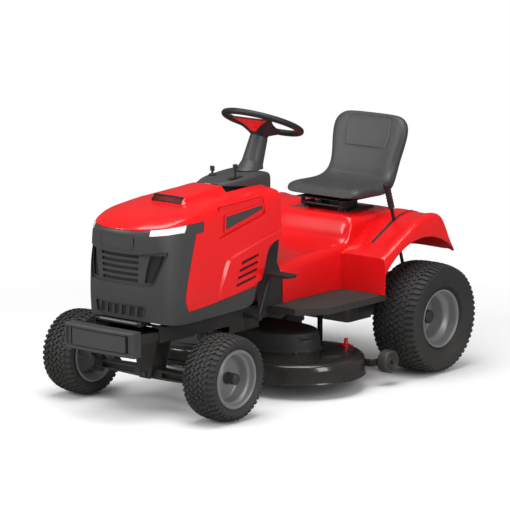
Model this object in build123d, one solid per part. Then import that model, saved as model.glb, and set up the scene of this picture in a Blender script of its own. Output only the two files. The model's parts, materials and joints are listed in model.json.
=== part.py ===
"""Riding lawn mower, 98 cm side-discharge deck, one STEP file per piece.

Millimetres, +Z up, front towards -Y, the driver's left towards +X.
The origin is on the ground under the middle of the machine.
"""
from build123d import *
from math import atan2, cos, degrees, hypot, pi, radians, sin
import os

# ---- overall -------------------------------------------------------------
wheelbase = 1200.0
front_axle_y = -553.0
rear_axle_y = front_axle_y + wheelbase
gap = 0.3                       # between pieces that move past each other
running = 0.05                  # radial clearance of a shaft in its bore
sheet = 3.0                     # plastic shells
plate = 4.0                     # pressed steel

# ---- wheels --------------------------------------------------------------
front_tyre_r, front_tyre_w, front_rim_r = 170.0, 156.0, 112.0
rear_tyre_r, rear_tyre_w, rear_rim_r = 228.5, 216.0, 120.0
front_rim_w, rear_rim_w = 140.0, 176.0
front_wheel_x, rear_wheel_x = 369.5, 434.0
front_shaft_r, rear_shaft_r = 9.5, 12.5

# ---- frame ---------------------------------------------------------------
rail_x, rail_w = 150.0, 40.0    # middle of each rail, and its width
rail_z0, rail_z1 = 300.0, 360.0
rail_front_y, rail_rear_y = front_axle_y - 145, rear_axle_y + 125
rail_in, rail_out = rail_x - rail_w / 2, rail_x + rail_w / 2
hitch_hole_r = 9.5

# ---- front axle and steering ---------------------------------------------
kingpin_x, kingpin_r = 275.0, 10.0
axle_z0, axle_z1 = 118.0, 158.0
axle_pin_r = 10.0
arm_length = 90.0               # spindle arm and sector arm, equal
rock_play = 7.4                 # room at the drag link's open eye for the rocking axle
pinion_teeth, sector_teeth, gear_module = 10, 60, 4.0
pinion_r = pinion_teeth * gear_module / 2
sector_r = sector_teeth * gear_module / 2
pinion_y = front_axle_y + 412
sector_y = pinion_y - (sector_r - pinion_r)
sector_z = 255.0
column_tilt = 22.5              # of the upper shaft from the vertical
column_r = 8.0
joint_z = 405.0                 # where the upper and lower shafts meet
wheel_ring_r, wheel_grip_r = 158.0, 14.0
wheel_centre_z = 1052.0

# ---- body ----------------------------------------------------------------
hood_half, hood_top_z, hood_front_y = 215.0, 850.0, front_axle_y - 222
hood_rear_y = front_axle_y + 547
tower_half, tower_z = 200.0, 780.0
foot_z, foot_thick, foot_half = 352.0, 27.0, 410.0
foot_front_y = front_axle_y + 495
platform_half, platform_z = 190.0, 640.0
fender_half, arch_r = 430.0, 330.0
seat_half, seat_z = 200.0, 700.0

# ---- cutting deck --------------------------------------------------------
lobe_x, lobe_r = 240.0, 262.0
deck_y = (front_axle_y + rear_axle_y) / 2 + 35
deck_z0, deck_z1 = 62.0, 150.0
cover_z1 = 235.0
blade_shaft_r = 12.5
scalp_wheel_r, scalp_wheel_w, scalp_x = 47.0, 45.0, 465.0

# ---- levers --------------------------------------------------------------
lift_x, lift_y, lift_z, lift_shaft_r = 300.0, rear_axle_y + 68, 330.0, 10.0
pedal_y, pedal_z, pedal_shaft_r = front_axle_y + 365, 330.0, 8.0
throttle_x = 60.0

parts = {}                      # node name to the list of its pieces


def add(name, *shapes):
    parts.setdefault(name, []).extend(shapes)


def block(x0, x1, y0, y1, z0, z1):
    size = Box(x1 - x0, y1 - y0, z1 - z0)
    return Pos((x0 + x1) / 2, (y0 + y1) / 2, (z0 + z1) / 2) * size


def rod(start, end, r):
    """Round bar from one point to another."""
    a, b = Vector(*start), Vector(*end)
    return extrude(Plane(origin=a, z_dir=(b - a)) * Circle(r), amount=(b - a).length)


def bar_x(x0, x1, y, z, r):
    return rod((x0, y, z), (x1, y, z), r)


def bar_z(x, y, z0, z1, r):
    return rod((x, y, z0), (x, y, z1), r)


def side_slab(points, x0, x1):
    """Outline given as (y, z) points, extruded from x0 to x1."""
    face = make_face(Polyline(*[(0, y, z) for y, z in points], close=True))
    return Pos(x0, 0, 0) * extrude(face, amount=x1 - x0, dir=(1, 0, 0))


def plan_slab(points, z0, z1):
    """Outline given as (x, y) points, extruded from z0 to z1."""
    face = make_face(Polyline(*[(x, y, 0) for x, y in points], close=True))
    return Pos(0, 0, z0) * extrude(face, amount=z1 - z0, dir=(0, 0, 1))


def front_slab(points, y0, y1):
    """Outline given as (x, z) points, extruded from y0 to y1."""
    face = make_face(Polyline(*[(x, 0, z) for x, z in points], close=True))
    return Pos(0, y0, 0) * extrude(face, amount=y1 - y0, dir=(0, 1, 0))


def turned(points):
    """Outline given as (radius, height) points, turned about Z."""
    face = make_face(Polyline(*[(r, 0, h) for r, h in points], close=True))
    return revolve(face, Axis.Z, 360)


def both(shape):
    return shape + mirror(shape, about=Plane.YZ)


def flip(shape):
    return mirror(shape, about=Plane.YZ)


def pair(name, shape):
    add(name + "_left", shape)
    add(name + "_right", flip(shape))


# ---- frame ---------------------------------------------------------------
def frame_rails():
    rail = block(rail_in, rail_out, rail_front_y, rail_rear_y, rail_z0, rail_z1)
    rail -= block(rail_in - 1, rail_out - plate, rail_front_y - 1, rail_rear_y + 1,
                  rail_z0 + plate, rail_z1 - plate)
    rail -= bar_x(rail_in, rail_out + 1, lift_y, lift_z, lift_shaft_r + running)
    rail -= bar_x(rail_in, rail_out + 1, pedal_y, pedal_z, pedal_shaft_r + running)
    add("frame_rails", both(rail))


def cross_plate(y0, y1, z0=None, thick=plate):
    z0 = rail_z1 if z0 is None else z0
    return block(-rail_out, rail_out, y0, y1, z0, z0 + thick)


def engine_plate():
    y = front_axle_y + 145
    shape = cross_plate(y - 150, y + 150)
    shape -= bar_z(0, y, rail_z1 - 1, rail_z1 + plate + 1, 22)
    add("frame_brackets", shape)


def battery_tray():
    add("frame_brackets", cross_plate(rear_axle_y - 160, rear_axle_y - 20))


def battery():
    y0, z0 = rear_axle_y - 150, rail_z1 + plate
    body = block(-90, 90, y0, y0 + 110, z0, z0 + 150)
    posts = both(bar_z(65, y0 + 30, z0 + 150, z0 + 165, 8))
    add("battery", fillet(body.edges().filter_by(Axis.Z), 6) + posts)


def axle_bracket():
    """Front cross plate with the two ears that hold the axle pin."""
    y = front_axle_y
    shape = cross_plate(y - 60, y + 60, rail_z0 - plate)
    ear = front_slab([(-70, rail_z0 - plate), (70, rail_z0 - plate), (28, axle_z0 + 2), (-28, axle_z0 + 2)],
                     y - 44, y - 38)
    ear += front_slab([(-70, rail_z0 - plate), (70, rail_z0 - plate), (28, axle_z0 + 2), (-28, axle_z0 + 2)],
                      y + 38, y + 44)
    shape += ear
    pin_z = (axle_z0 + axle_z1) / 2
    shape -= rod((0, y - 60, pin_z), (0, y + 60, pin_z), axle_pin_r)
    add("frame_brackets", shape)
    pin = rod((0, y - 50, pin_z), (0, y + 50, pin_z), axle_pin_r)
    add("frame_pins", pin)


def steering_bracket():
    """Hanging plate that carries the sector and the lower steering shaft."""
    y0, y1, z0 = sector_y - 40, pinion_y + 40, sector_z + 13
    shape = block(-rail_out, rail_out, y0, y1, z0, z0 + plate)
    side = block(rail_out - plate, rail_out, y0, y1, z0, rail_z0)
    shape += both(side)
    shape -= bar_z(0, pinion_y, z0 - 1, z0 + plate + 1, column_r + running)
    shape += bar_z(0, sector_y, sector_z - 32, z0, column_r)
    shape += bar_z(0, sector_y, sector_z - 36, sector_z - 32, column_r + 5)
    add("frame_brackets", shape)


def bumper_brackets():
    y0, y1 = hood_front_y - 40, rail_front_y + 40
    arm = block(rail_in + 8, rail_out - plate, y0, y1, rail_z0 + 10, rail_z1 - 20)
    add("frame_brackets", both(arm))


def front_bumper():
    half, z0, z1 = 181.0, 265.0, 365.0
    y_face, y_back = hood_front_y - 96, hood_front_y - 40
    body = block(-half, half, y_face, y_back, z0, z1)
    body = chamfer(body.edges().filter_by(Axis.Z).sort_by(Axis.Y)[0:2], 22)
    body -= block(-half + 26, half - 26, y_face - 1, y_face + 9, z0 + 14, z1 - 14)
    body -= both(block(half - 50, half - 40, y_face, y_face + 20, z0 + 24, z1 - 24))
    body -= block(-half + 8, half - 8, y_face + 26, y_back + 1, z0 + 8, z1 - 8)
    rib = block(rail_in, rail_out, y_face + 26, y_back, z0 + 8, z1 - 8)
    add("front_bumper", body + both(rib))


def hitch_plate():
    y0, z0 = rail_rear_y, rail_z0
    shape = block(-rail_out, rail_out, y0, y0 + 5, z0 - 40, rail_z1)
    shape += block(-50, 50, y0, y0 + 66, z0 - 40, z0 - 34)
    shape -= bar_z(0, y0 + 40, z0 - 50, z0, hitch_hole_r)
    add("frame_brackets", shape)


# ---- engine --------------------------------------------------------------
engine_y = front_axle_y + 145
crank_r = 12.7
pulley_z0, pulley_z1 = 278.0, 296.0


def pulley(x, y, r, z0, z1, bore):
    mid = (z0 + z1) / 2
    shape = turned([(bore, z0), (r, z0), (r, z0 + 2), (r - 9, mid - 2), (r - 9, mid + 2), (r, z1 - 2), (r, z1),
                    (bore, z1)])
    return Pos(x, y, 0) * shape


def engine():
    base_z = rail_z1 + plate
    body = block(-105, 105, engine_y - 110, engine_y + 110, base_z, base_z + 110)
    body = fillet(body.edges().filter_by(Axis.Z), 30)
    cylinder = block(-65, 65, engine_y - 195, engine_y - 100, base_z + 30, base_z + 130)
    fins = cylinder
    for i in range(4):
        y = engine_y - 180 + 18 * i
        fins -= block(-66, 66, y, y + 7, base_z + 29, base_z + 131)
        fins += block(-45, 45, y, y + 7, base_z + 50, base_z + 110)
    body += fins
    body -= bar_z(0, engine_y, base_z - 1, base_z + 90, crank_r + running)
    add("engine_block", body)
    shroud = bar_z(0, engine_y, base_z + 110, base_z + 205, 145)
    shroud += bar_z(0, engine_y, base_z + 205, base_z + 240, 120)
    shroud -= bar_z(0, engine_y, base_z + 109, base_z + 200, 138)
    shroud -= block(-68, 68, engine_y - 200, engine_y - 90, base_z + 109, base_z + 131)
    add("engine_shroud", shroud)
    filter_box = block(-80, 80, engine_y + 156, engine_y + 204, base_z + 120, base_z + 200)
    filter_box += block(-20, 20, engine_y + 145.5, engine_y + 157, base_z + 140, base_z + 180)
    add("muffler_and_filter", filter_box)
    muffler_y = engine_y - 235
    muffler = bar_x(-110, 110, muffler_y, base_z + 70, 36)
    muffler += rod((0, muffler_y + 20, base_z + 70), (0, engine_y - 195, base_z + 70), 14)
    add("muffler_and_filter", muffler)


def crankshaft():
    base_z = rail_z1 + plate
    add("crankshaft", bar_z(0, engine_y, pulley_z0 - 8, base_z + 85, crank_r))
    add("crankshaft", pulley(0, engine_y, 50, pulley_z0, pulley_z1, crank_r))


def fuel_tank():
    y1, z0 = engine_y + 320, 545.0
    body = block(-150, 150, y1 - 105, y1, z0, z0 + 170)
    body = fillet(body.edges(), 14)
    body += bar_z(-90, y1 - 50, z0 + 165, z0 + 190, 30)
    shelf_legs = both(block(tower_half - 60, tower_half - sheet, y1 - 80, y1 - 40, z0 + 60, z0 + 90))
    add("fuel_tank", body + shelf_legs)
    add("fuel_tank", bar_z(-90, y1 - 50, z0 + 190, z0 + 210, 38))


def traction_belt():
    """V belt from the engine pulley back to the transaxle pulley."""
    r0, r1 = 50 - 8.5, 60 - 8.5
    z0, z1 = pulley_z0 + 7.5, pulley_z1 - 7.5
    y1 = rear_axle_y - 75

    def loop(extra):
        angle = (r1 - r0) / (y1 - engine_y)
        a, b = r0 + extra, r1 + extra
        shape = bar_z(0, engine_y, z0, z1, a) + bar_z(0, y1, z0, z1, b)
        side = [(a * cos(angle), engine_y - a * sin(angle)), (b * cos(angle), y1 - b * sin(angle))]
        quad = side + [(-x, y) for x, y in reversed(side)]
        return shape + plan_slab(quad, z0, z1)

    add("traction_belt", loop(7.0) - loop(0))


def transaxle():
    y, z = rear_axle_y, rear_tyre_r - 0.5
    body = block(-120, 120, y - 110, y + 60, z - 55, z + 40)
    body = fillet(body.edges().filter_by(Axis.Z), 18)
    tube = bar_x(-250, 250, y, z, 32)
    saddle = both(block(rail_in, rail_out, y - 30, y + 30, z + 20, rail_z0))
    body += tube + saddle
    body -= bar_x(-251, 251, y, z, rear_shaft_r + running)
    body -= bar_z(0, y - 75, z + 10, z + 41, 8 + running)
    add("transaxle", body)
    shaft = bar_z(0, y - 75, z + 12, pulley_z1 + 6, 8)
    add("transaxle_input", shaft + pulley(0, y - 75, 60, pulley_z0, pulley_z1, 7.9))


# ---- wheels --------------------------------------------------------------
def tyre(r, w, rim_r, rim_w):
    """Hollow tyre, turned about Z with the outer face up."""
    h, bead = w / 2, rim_w / 2 - 5
    seat = rim_r - 8
    mid_r = seat + 0.45 * (r - seat)
    outer = [(seat, -bead), (rim_r + 0.5, -bead), (rim_r + 5, -bead - 2), (mid_r, -h),
             (r - 22, -h + 4), (r - 6, -h + 18), (r, -h * 0.45)]
    outer += [(a, -b) for a, b in reversed(outer)]
    wall = 12
    inner = [(seat, bead - 12), (mid_r, h - wall), (r - 24, h - wall - 8), (r - wall - 6, 0)]
    inner += [(a, -b) for a, b in reversed(inner[:3])]
    return turned(outer) - turned(inner)


def rim(rim_r, rim_w, hub_r, bore, disc_a, hub_a0, hub_a1):
    """Two-flange steel rim, turned about Z; the disc sits at height disc_a."""
    h, t = rim_w / 2, 3.5
    seat, well = rim_r - 8, rim_r - 24
    profile = [(rim_r, h), (rim_r, h - 5), (seat, h - 5), (seat, h - 24), (well, h - 36), (well, -h + 36),
               (seat, -h + 24), (seat, -h + 5), (rim_r, -h + 5), (rim_r, -h), (seat - t, -h), (seat - t, -h + 26),
               (well - t, -h + 38), (well - t, h - 38), (seat - t, h - 26), (seat - t, h)]
    shell = turned(profile)
    disc = turned([(hub_r - 1, disc_a), (hub_r + 14, disc_a), (hub_r + 26, disc_a - 14), (well - t / 2, disc_a - 14),
                   (well - t / 2, disc_a - 18), (hub_r + 24, disc_a - 18), (hub_r + 12, disc_a - 4),
                   (hub_r - 1, disc_a - 4)])
    hub = turned([(bore, hub_a0), (hub_r, hub_a0), (hub_r, hub_a1), (bore, hub_a1)])
    return shell + disc + hub


def wheels():
    front_place = Pos(front_wheel_x, front_axle_y, front_tyre_r) * Rot(0, 90, 0)
    rear_place = Pos(rear_wheel_x, rear_axle_y, rear_tyre_r - 0.5) * Rot(0, 90, 0)
    pair("front_tyre", front_place * tyre(front_tyre_r, front_tyre_w, front_rim_r, front_rim_w))
    pair("front_rim", front_place * rim(front_rim_r, front_rim_w, 21, front_shaft_r + running, 12, -55, 22))
    cap = turned([(0, 68), (18, 68), (23, 62), (23, 22), (front_shaft_r + 6, 22), (front_shaft_r + 6, 60), (0, 60)])
    pair("front_rim", front_place * cap)
    pair("rear_tyre", rear_place * tyre(rear_tyre_r, rear_tyre_w, rear_rim_r, rear_rim_w))
    pair("rear_rim", rear_place * rim(rear_rim_r, rear_rim_w, 24, rear_shaft_r, -20, -70, 30))
    shaft = bar_x(60, rear_wheel_x + 26, rear_axle_y, rear_tyre_r - 0.5, rear_shaft_r)
    shaft += bar_x(rear_wheel_x + 30, rear_wheel_x + 34, rear_axle_y, rear_tyre_r - 0.5, rear_shaft_r + 6)
    shaft += bar_x(rear_wheel_x + 25, rear_wheel_x + 31, rear_axle_y, rear_tyre_r - 0.5, rear_shaft_r)
    pair("rear_rim", shaft)


# ---- front axle ----------------------------------------------------------
def front_axle():
    y, zm = front_axle_y, (axle_z0 + axle_z1) / 2
    beam = front_slab([(-kingpin_x, axle_z0 + 6), (-60, axle_z0), (60, axle_z0), (kingpin_x, axle_z0 + 6),
                       (kingpin_x, axle_z1 - 6), (60, axle_z1), (-60, axle_z1), (-kingpin_x, axle_z1 - 6)],
                      y - 24, y + 24)
    beam -= both(block(70, kingpin_x - 30, y - 25, y - 4, axle_z0 + 10, axle_z1 - 10))
    beam -= both(block(70, kingpin_x - 30, y + 4, y + 25, axle_z0 + 10, axle_z1 - 10))
    beam += both(bar_z(kingpin_x, y, axle_z0 - 6, axle_z1, 24))
    beam += rod((0, y - 36, zm), (0, y + 36, zm), axle_pin_r + 9)
    beam -= both(bar_z(kingpin_x, y, axle_z0 - 8, axle_z1 + 1, kingpin_r + running))
    beam -= rod((0, y - 60, zm), (0, y + 60, zm), axle_pin_r + running)
    add("front_axle", beam)


def spindles():
    """Kingpin, stub axle and steering arm in one forging."""
    y, z = front_axle_y, front_tyre_r
    shape = bar_z(kingpin_x, y, axle_z0 - 16, axle_z1 + 2, kingpin_r)
    shape += bar_z(kingpin_x, y, axle_z1 + gap, z + 20, 17)
    shape += bar_z(kingpin_x, y, axle_z0 - 12, axle_z0 - 6 - gap, kingpin_r + 5)
    shape += bar_x(kingpin_x, front_wheel_x + 55, y, z, front_shaft_r)
    shape += bar_x(kingpin_x + 10, front_wheel_x - 56, y, z, front_shaft_r + 1.5)
    shape += bar_x(front_wheel_x + 23, front_wheel_x + 27, y, z, front_shaft_r + 4)
    arm = block(kingpin_x - 13, kingpin_x + 13, y, y + arm_length, z + 14, z + 20)
    arm += bar_z(kingpin_x, y + arm_length, z + 14, z + 20, 13)
    shape += arm
    right = flip(shape) + bar_z(-kingpin_x, y + arm_length, z - 6, z + 14, 5)
    left = shape + bar_z(kingpin_x, y + arm_length, z - 6, z + 46, 5)
    add("spindle_left", left)
    add("spindle_right", right)


def steering_links():
    y, z = front_axle_y + arm_length, front_tyre_r
    tie = bar_x(-kingpin_x, kingpin_x, y, z + 4, 6)
    eye = bar_z(kingpin_x, y, z - 4, z + 12, 12)
    tie = tie + both(eye)
    tie -= bar_z(kingpin_x, y, z - 10, z + 14, 5 + running)
    tie -= bar_z(-kingpin_x, y, z - 10, z + 14, 5 + 0.4)
    add("tie_rod", tie)
    link_z = z + 34
    a, b = (kingpin_x, y, link_z), (0, sector_y + arm_length, link_z)
    open_r = 5 + rock_play
    link = rod(a, b, 6) + bar_z(a[0], a[1], link_z - 8, link_z + 8, 12)
    link += bar_z(b[0], b[1], link_z - 8, link_z + 8, open_r + 6)
    link -= bar_z(a[0], a[1], link_z - 10, link_z + 10, 5 + running)
    link -= bar_z(b[0], b[1], link_z - 10, link_z + 10, open_r)
    add("drag_link", link)


def tooth_ring(teeth, r, inward, phase, z0, z1, limit=None):
    """Separate trapezium teeth on pitch radius r, pointing in or out."""
    pitch = 2 * pi / teeth
    sign = -1 if inward else 1
    root, tip = r - sign * 0.95 * gear_module, r + sign * 0.75 * gear_module
    solids = []
    for i in range(teeth):
        mid = phase + i * pitch
        off = (degrees(mid) - 90 + 180) % 360 - 180
        if limit is not None and abs(off) > limit:
            continue
        w_root, w_tip = 0.33 * pitch * r / root, 0.10 * pitch * r / tip
        far = root - sign * 2.5
        points = [(far, -w_root), (root, -w_root), (tip, -w_tip), (tip, w_tip), (root, w_root), (far, w_root)]
        solids.append(plan_slab([(a * cos(mid + t), a * sin(mid + t)) for a, t in points], z0, z1))
    return solids


def sector_gear():
    """Fan-shaped plate with a slot toothed on its outer edge."""
    z0, z1 = sector_z, sector_z + 9
    limit, slot_limit = 66, 56

    def fan(r0, r1, half):
        steps = [radians(90 - half + 2 * half * i / 24) for i in range(25)]
        outer = [(r1 * cos(a), r1 * sin(a)) for a in steps]
        inner = [(r0 * cos(a), r0 * sin(a)) for a in reversed(steps)]
        return plan_slab(outer + inner, z0, z1)

    shape = fan(0.1, sector_r + 20, limit) + bar_z(0, 0, z0, z1, 30)
    shape -= fan(sector_r - 2 * pinion_r - 12, sector_r + 0.95 * gear_module, slot_limit)
    for tooth in tooth_ring(sector_teeth, sector_r, True, pi / 2, z0, z1, slot_limit - 3):
        shape += tooth
    shape += bar_z(0, 0, z0 - 30, z0, 16)
    arm = block(-12, 12, 0, arm_length, z0 - 30, z0 - 24) + bar_z(0, arm_length, z0 - 30, z0 - 24, 12)
    shape += arm + bar_z(0, arm_length, z0 - 62, z0 - 30, 5)
    shape -= bar_z(0, 0, z0 - 40, z1 + 1, column_r + running)
    add("sector_gear", Pos(0, sector_y, 0) * shape)


def lower_shaft():
    z0, z1 = sector_z - 1, sector_z + 10
    gear = bar_z(0, 0, z0, z1, pinion_r - 0.95 * gear_module)
    for tooth in tooth_ring(pinion_teeth, pinion_r, False, pi / 2 + pi / pinion_teeth, z0, z1):
        gear += tooth
    gear += bar_z(0, 0, z0, joint_z - 8, column_r)
    gear += Pos(0, 0, joint_z) * Sphere(11)
    gear += bar_z(0, 0, sector_z + 13 + plate + gap, sector_z + 13 + plate + 8, column_r + 6)
    add("lower_steering_shaft", Pos(0, pinion_y, 0) * gear)


def column_plane(distance):
    """Plane across the upper shaft, a distance up from the joint."""
    t = radians(column_tilt)
    return Plane(origin=(0, pinion_y + distance * sin(t), joint_z + distance * cos(t)), x_dir=(1, 0, 0),
                 z_dir=(0, sin(t), cos(t)))


column_length = (wheel_centre_z - joint_z) / cos(radians(column_tilt))
neck_top = column_length - 62


def steering_wheel():
    cup = turned([(0, 11.5), (6, 11.5), (11.6, 4), (11.6, -4), (16, -4), (16, 12), (10, 22), (0, 22)])
    shaft = turned([(0, 20), (column_r, 20), (column_r, column_length - 20), (0, column_length - 20)])
    add("steering_shaft", column_plane(0) * (cup + shaft))
    centre = column_plane(column_length)
    hub = turned([(0, -20), (38, -20), (40, -58), (44, -58), (60, -22), (60, -8), (0, -8)])
    for angle in (60, 120, 270):
        hub += Rot(0, 0, angle) * block(30, wheel_ring_r, -17, 17, -14, -6)
    hub -= bar_z(0, 0, -70, -19, column_r)
    add("steering_wheel", centre * (hub + Torus(wheel_ring_r, wheel_grip_r)))
    insert = plan_slab([(-42, -40), (42, -40), (16, 34), (-16, 34)], -6, -1)
    add("steering_wheel_insert", centre * insert)


# ---- hood ----------------------------------------------------------------
def hood_form(inset):
    """Closed outer form of hood and nose, shrunk by an inset on every side."""
    half, front, rear = hood_half - inset, hood_front_y + inset, hood_rear_y
    top = hood_top_z - inset
    side = side_slab([(front + 26, 300), (front + 13, 640), (front + 1, top - 112), (front + 30, top - 98),
                      (front + 160, top - 52), (front + 325, top - 28), (front + 560, top), (rear, top - 5),
                      (rear, 300)], -half, half)
    plan = plan_slab([(-half, rear), (-half, front + 128), (-half + 12, front + 98), (-half + 62, front + 34),
                      (-90, front + 9), (0, front), (90, front + 9), (half - 62, front + 34),
                      (half - 12, front + 98), (half, front + 128), (half, rear)], 280, top + 10)
    section = front_slab([(-half, 290), (half, 290), (half, top - 100), (half - 4, top - 62), (half - 34, top - 28),
                          (100, top - 12), (60, top + 1), (-60, top + 1), (-100, top - 12), (-half + 34, top - 28),
                          (-half + 4, top - 62), (-half, top - 100)], front - 10, rear + 10)
    return side & plan & section


hinge_y, hinge_z, hinge_r = hood_front_y + 32, 372.0, 8.0
nose_y = front_axle_y - 61      # rear edge of the nose at the side


def hood():
    shell = hood_form(0) - hood_form(sheet)
    side_z0 = 385.0
    shell -= side_slab([(hood_front_y - 50, 250), (nose_y + 520, 250), (nose_y + 520, side_z0 - 15),
                        (nose_y + 250, side_z0 - 20), (nose_y, side_z0 - 22), (hood_front_y + 40, side_z0),
                        (hood_front_y - 50, side_z0)],
                       -hood_half - 1, hood_half + 1)
    seam = [(hood_front_y - 50, side_z0 - 60), (nose_y, side_z0 - 60), (nose_y - 11, 583),
            (nose_y + 46, 722), (hood_front_y + 40, 730), (hood_front_y - 50, 738)]
    nose_zone = side_slab(seam, -hood_half - 1, hood_half + 1)
    lens_zone = side_slab([(nose_y + 46, 722.6), (nose_y + 30, 750), (hood_front_y + 30, 752),
                           (hood_front_y - 50, 752), (hood_front_y - 50, 738.6), (hood_front_y + 40, 730.6)],
                          110, hood_half + 1)
    nose = shell & nose_zone
    nose += shell & both(side_slab([(nose_y - 30, side_z0 - 60), (nose_y - 30, 407), (nose_y + 2, 407),
                                    (nose_y + 205, 422), (nose_y + 432, 455.5),
                                    (nose_y + 432, side_z0 - 60)], hood_half - 20, hood_half + 1))
    lens = shell & lens_zone
    red = shell - nose_zone - both(lens_zone)
    red -= side_slab([(nose_y + 500, 250), (nose_y + 434, 459), (nose_y + 512, 591), (nose_y + 520, 611),
                      (hood_rear_y - 12, 626), (hood_rear_y + 50, 626), (hood_rear_y + 50, 250)],
                     -hood_half - 1, hood_half + 1)
    red -= side_slab([(nose_y - 6, 250), (nose_y - 6, 408), (nose_y + 2, 408), (nose_y + 205, 423),
                      (nose_y + 440, 457), (nose_y + 500, 250)],
                     -hood_half - 1, hood_half + 1)
    for i in range(4):
        y, z = nose_y + 345 - 12 * i, 557 - 28 * i
        slot = side_slab([(y, z), (y + 104 + 4 * i, z + 20), (y + 104 + 4 * i, z + 32), (y, z + 12)],
                         hood_half - 10, hood_half + 1)
        red -= both(slot)
    vent_y = front_axle_y + 100
    red -= block(-70, 70, vent_y, vent_y + 60, 780, 860)
    red -= block(-103, 103, hood_rear_y - 211, hood_rear_y + 1, 780, 900)
    add("hood_shell", red)
    for i in range(5):
        z = 637 - 26 * i
        nose -= block(-83, 83, hood_front_y - 20, hood_front_y + 40, z - 12, z)
    for i in range(-3, 4):
        nose -= block(36 * i - 13, 36 * i + 13, hood_front_y - 20, hood_front_y + 40, 424, 442)
    lug = block(84, 94, hinge_y - 18, hinge_y + 12, hinge_z - 12, side_z0 + 16)
    lug -= bar_x(80, 100, hinge_y, hinge_z, hinge_r + running)
    add("nose_fascia", nose + both(lug))
    add("headlamp_lenses", both(lens))
    vent = block(-70 + gap, 70 - gap, vent_y + gap, vent_y + 60 - gap, 805, 829)
    for i in range(3):
        vent -= block(-60, 60, vent_y + 8 + 16 * i, vent_y + 18 + 16 * i, 800, 830)
    add("hood_trims", vent)


def hood_hinge():
    pin = bar_x(-108, 108, hinge_y, hinge_z, hinge_r)
    add("frame_pins", pin)
    ear = block(99, 105, hinge_y, rail_front_y + 20, hinge_z - 12, hinge_z + 8) + bar_x(99, 105, hinge_y, hinge_z, 12)
    ear -= bar_x(90, 110, hinge_y, hinge_z, hinge_r)
    ear += block(99, rail_out, rail_front_y, rail_front_y + 20, rail_z1, rail_z1 + 6)
    add("frame_brackets", both(ear))


def side_trim():
    y = hood_rear_y
    plate_shape = side_slab([(y - 358, 692), (y - 112, 754), (y - 112, 775), (y - 358, 755)],
                            hood_half + 0.0, hood_half + 2.5)
    add("hood_trims", both(plate_shape))


# ---- dash and column -----------------------------------------------------
def tower_profile(inset):
    y = foot_front_y + 110
    return [(y - 190, foot_z), (y + 1 - inset, foot_z), (y - 38 - inset, 457), (y - 76 - inset, 524),
            (y - 62 - inset, 622), (y - 68 - inset, tower_z - inset), (y - 120, tower_z - inset), (y - 175, 620),
            (y - 215, 470)]


def dash_tower():
    outer = side_slab(tower_profile(0), -tower_half, tower_half)
    profile = tower_profile(sheet)
    y = foot_front_y + 110
    inner_points = [(y - 300, foot_z - 10)] + [(a, b) for a, b in profile[1:6]] + [(y - 300, tower_z - sheet)]
    inner_points[1] = (inner_points[1][0] + 3, foot_z - 10)
    inner = side_slab(inner_points, -tower_half + sheet, tower_half - sheet)
    shape = outer - inner
    shape += side_slab([(y - 66, 640), (y + 2, tower_z), (y - 66, tower_z)], -45, 45)
    shape -= block(-rail_out - 1, rail_out + 1, y - 300, y + 10, foot_z - 20, rail_z1)
    hole = column_plane(200) * extrude(Circle(column_r + 8), amount=500)
    shape -= hole
    rest = both(block(rail_in, tower_half - sheet, y - 120, y - 60, rail_z1, rail_z1 + 8))
    add("dash_tower", shape + rest)


def dash_console():
    y = hood_rear_y
    z0 = tower_z + gap
    body = side_slab([(y - 56, z0), (y + 62, z0), (y + 66, z0 + 60), (y + 60, 872), (y - 60, 866), (y - 207, 852),
                      (y - 205, 832), (y - 60, 822)], -100, 100)
    hole = column_plane(300) * extrude(Circle(column_r + 8), amount=450)
    body -= hole
    control_y = y - 110
    body -= block(throttle_x - 9, throttle_x + 9, control_y - 30, control_y + 30, 847, 900)
    body -= bar_z(-60, control_y, 853, 900, 5 + running)
    add("dash_console", body)


def column_covers():
    base, joint = column_length - 265, column_length - 168
    lower = loft([column_plane(base) * Ellipse(72, 82), column_plane(joint) * Ellipse(44, 44)])
    lower -= column_plane(base - 5) * extrude(Circle(column_r + 8), amount=300)
    y = hood_rear_y
    lower -= block(-200, 200, y - 300, y + 300, 600, 872)
    lower -= side_slab([(y + 64, 873), (y - 60, 867), (y - 207, 853), (y - 207, 800), (y + 64, 800)], -150, 150)
    add("column_cover", lower)
    neck = loft([column_plane(joint + 0.5) * Ellipse(44, 44), column_plane(neck_top) * Ellipse(36, 38)])
    neck -= column_plane(joint - 5) * extrude(Circle(column_r + 8), amount=300)
    add("column_cover", neck)


def dash_controls():
    y, z = hood_rear_y - 110, 862.0
    lever = side_slab([(y - 4, z - 8), (y + 4, z - 8), (y + 4, z + 45), (y - 4, z + 45)],
                      throttle_x - 2, throttle_x + 2)
    lever += block(throttle_x - 7, throttle_x + 7, y - 7, y + 7, z + 38, z + 54)
    lever += bar_x(throttle_x - 9 + gap, throttle_x + 9 - gap, y, z - 6, 3)
    add("throttle_lever", lever)
    key = bar_z(-60, y, z - 8, z + 16, 5) + block(-71, -49, y - 1.5, y + 1.5, z + 16, z + 36)
    add("ignition_key", key)


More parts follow.
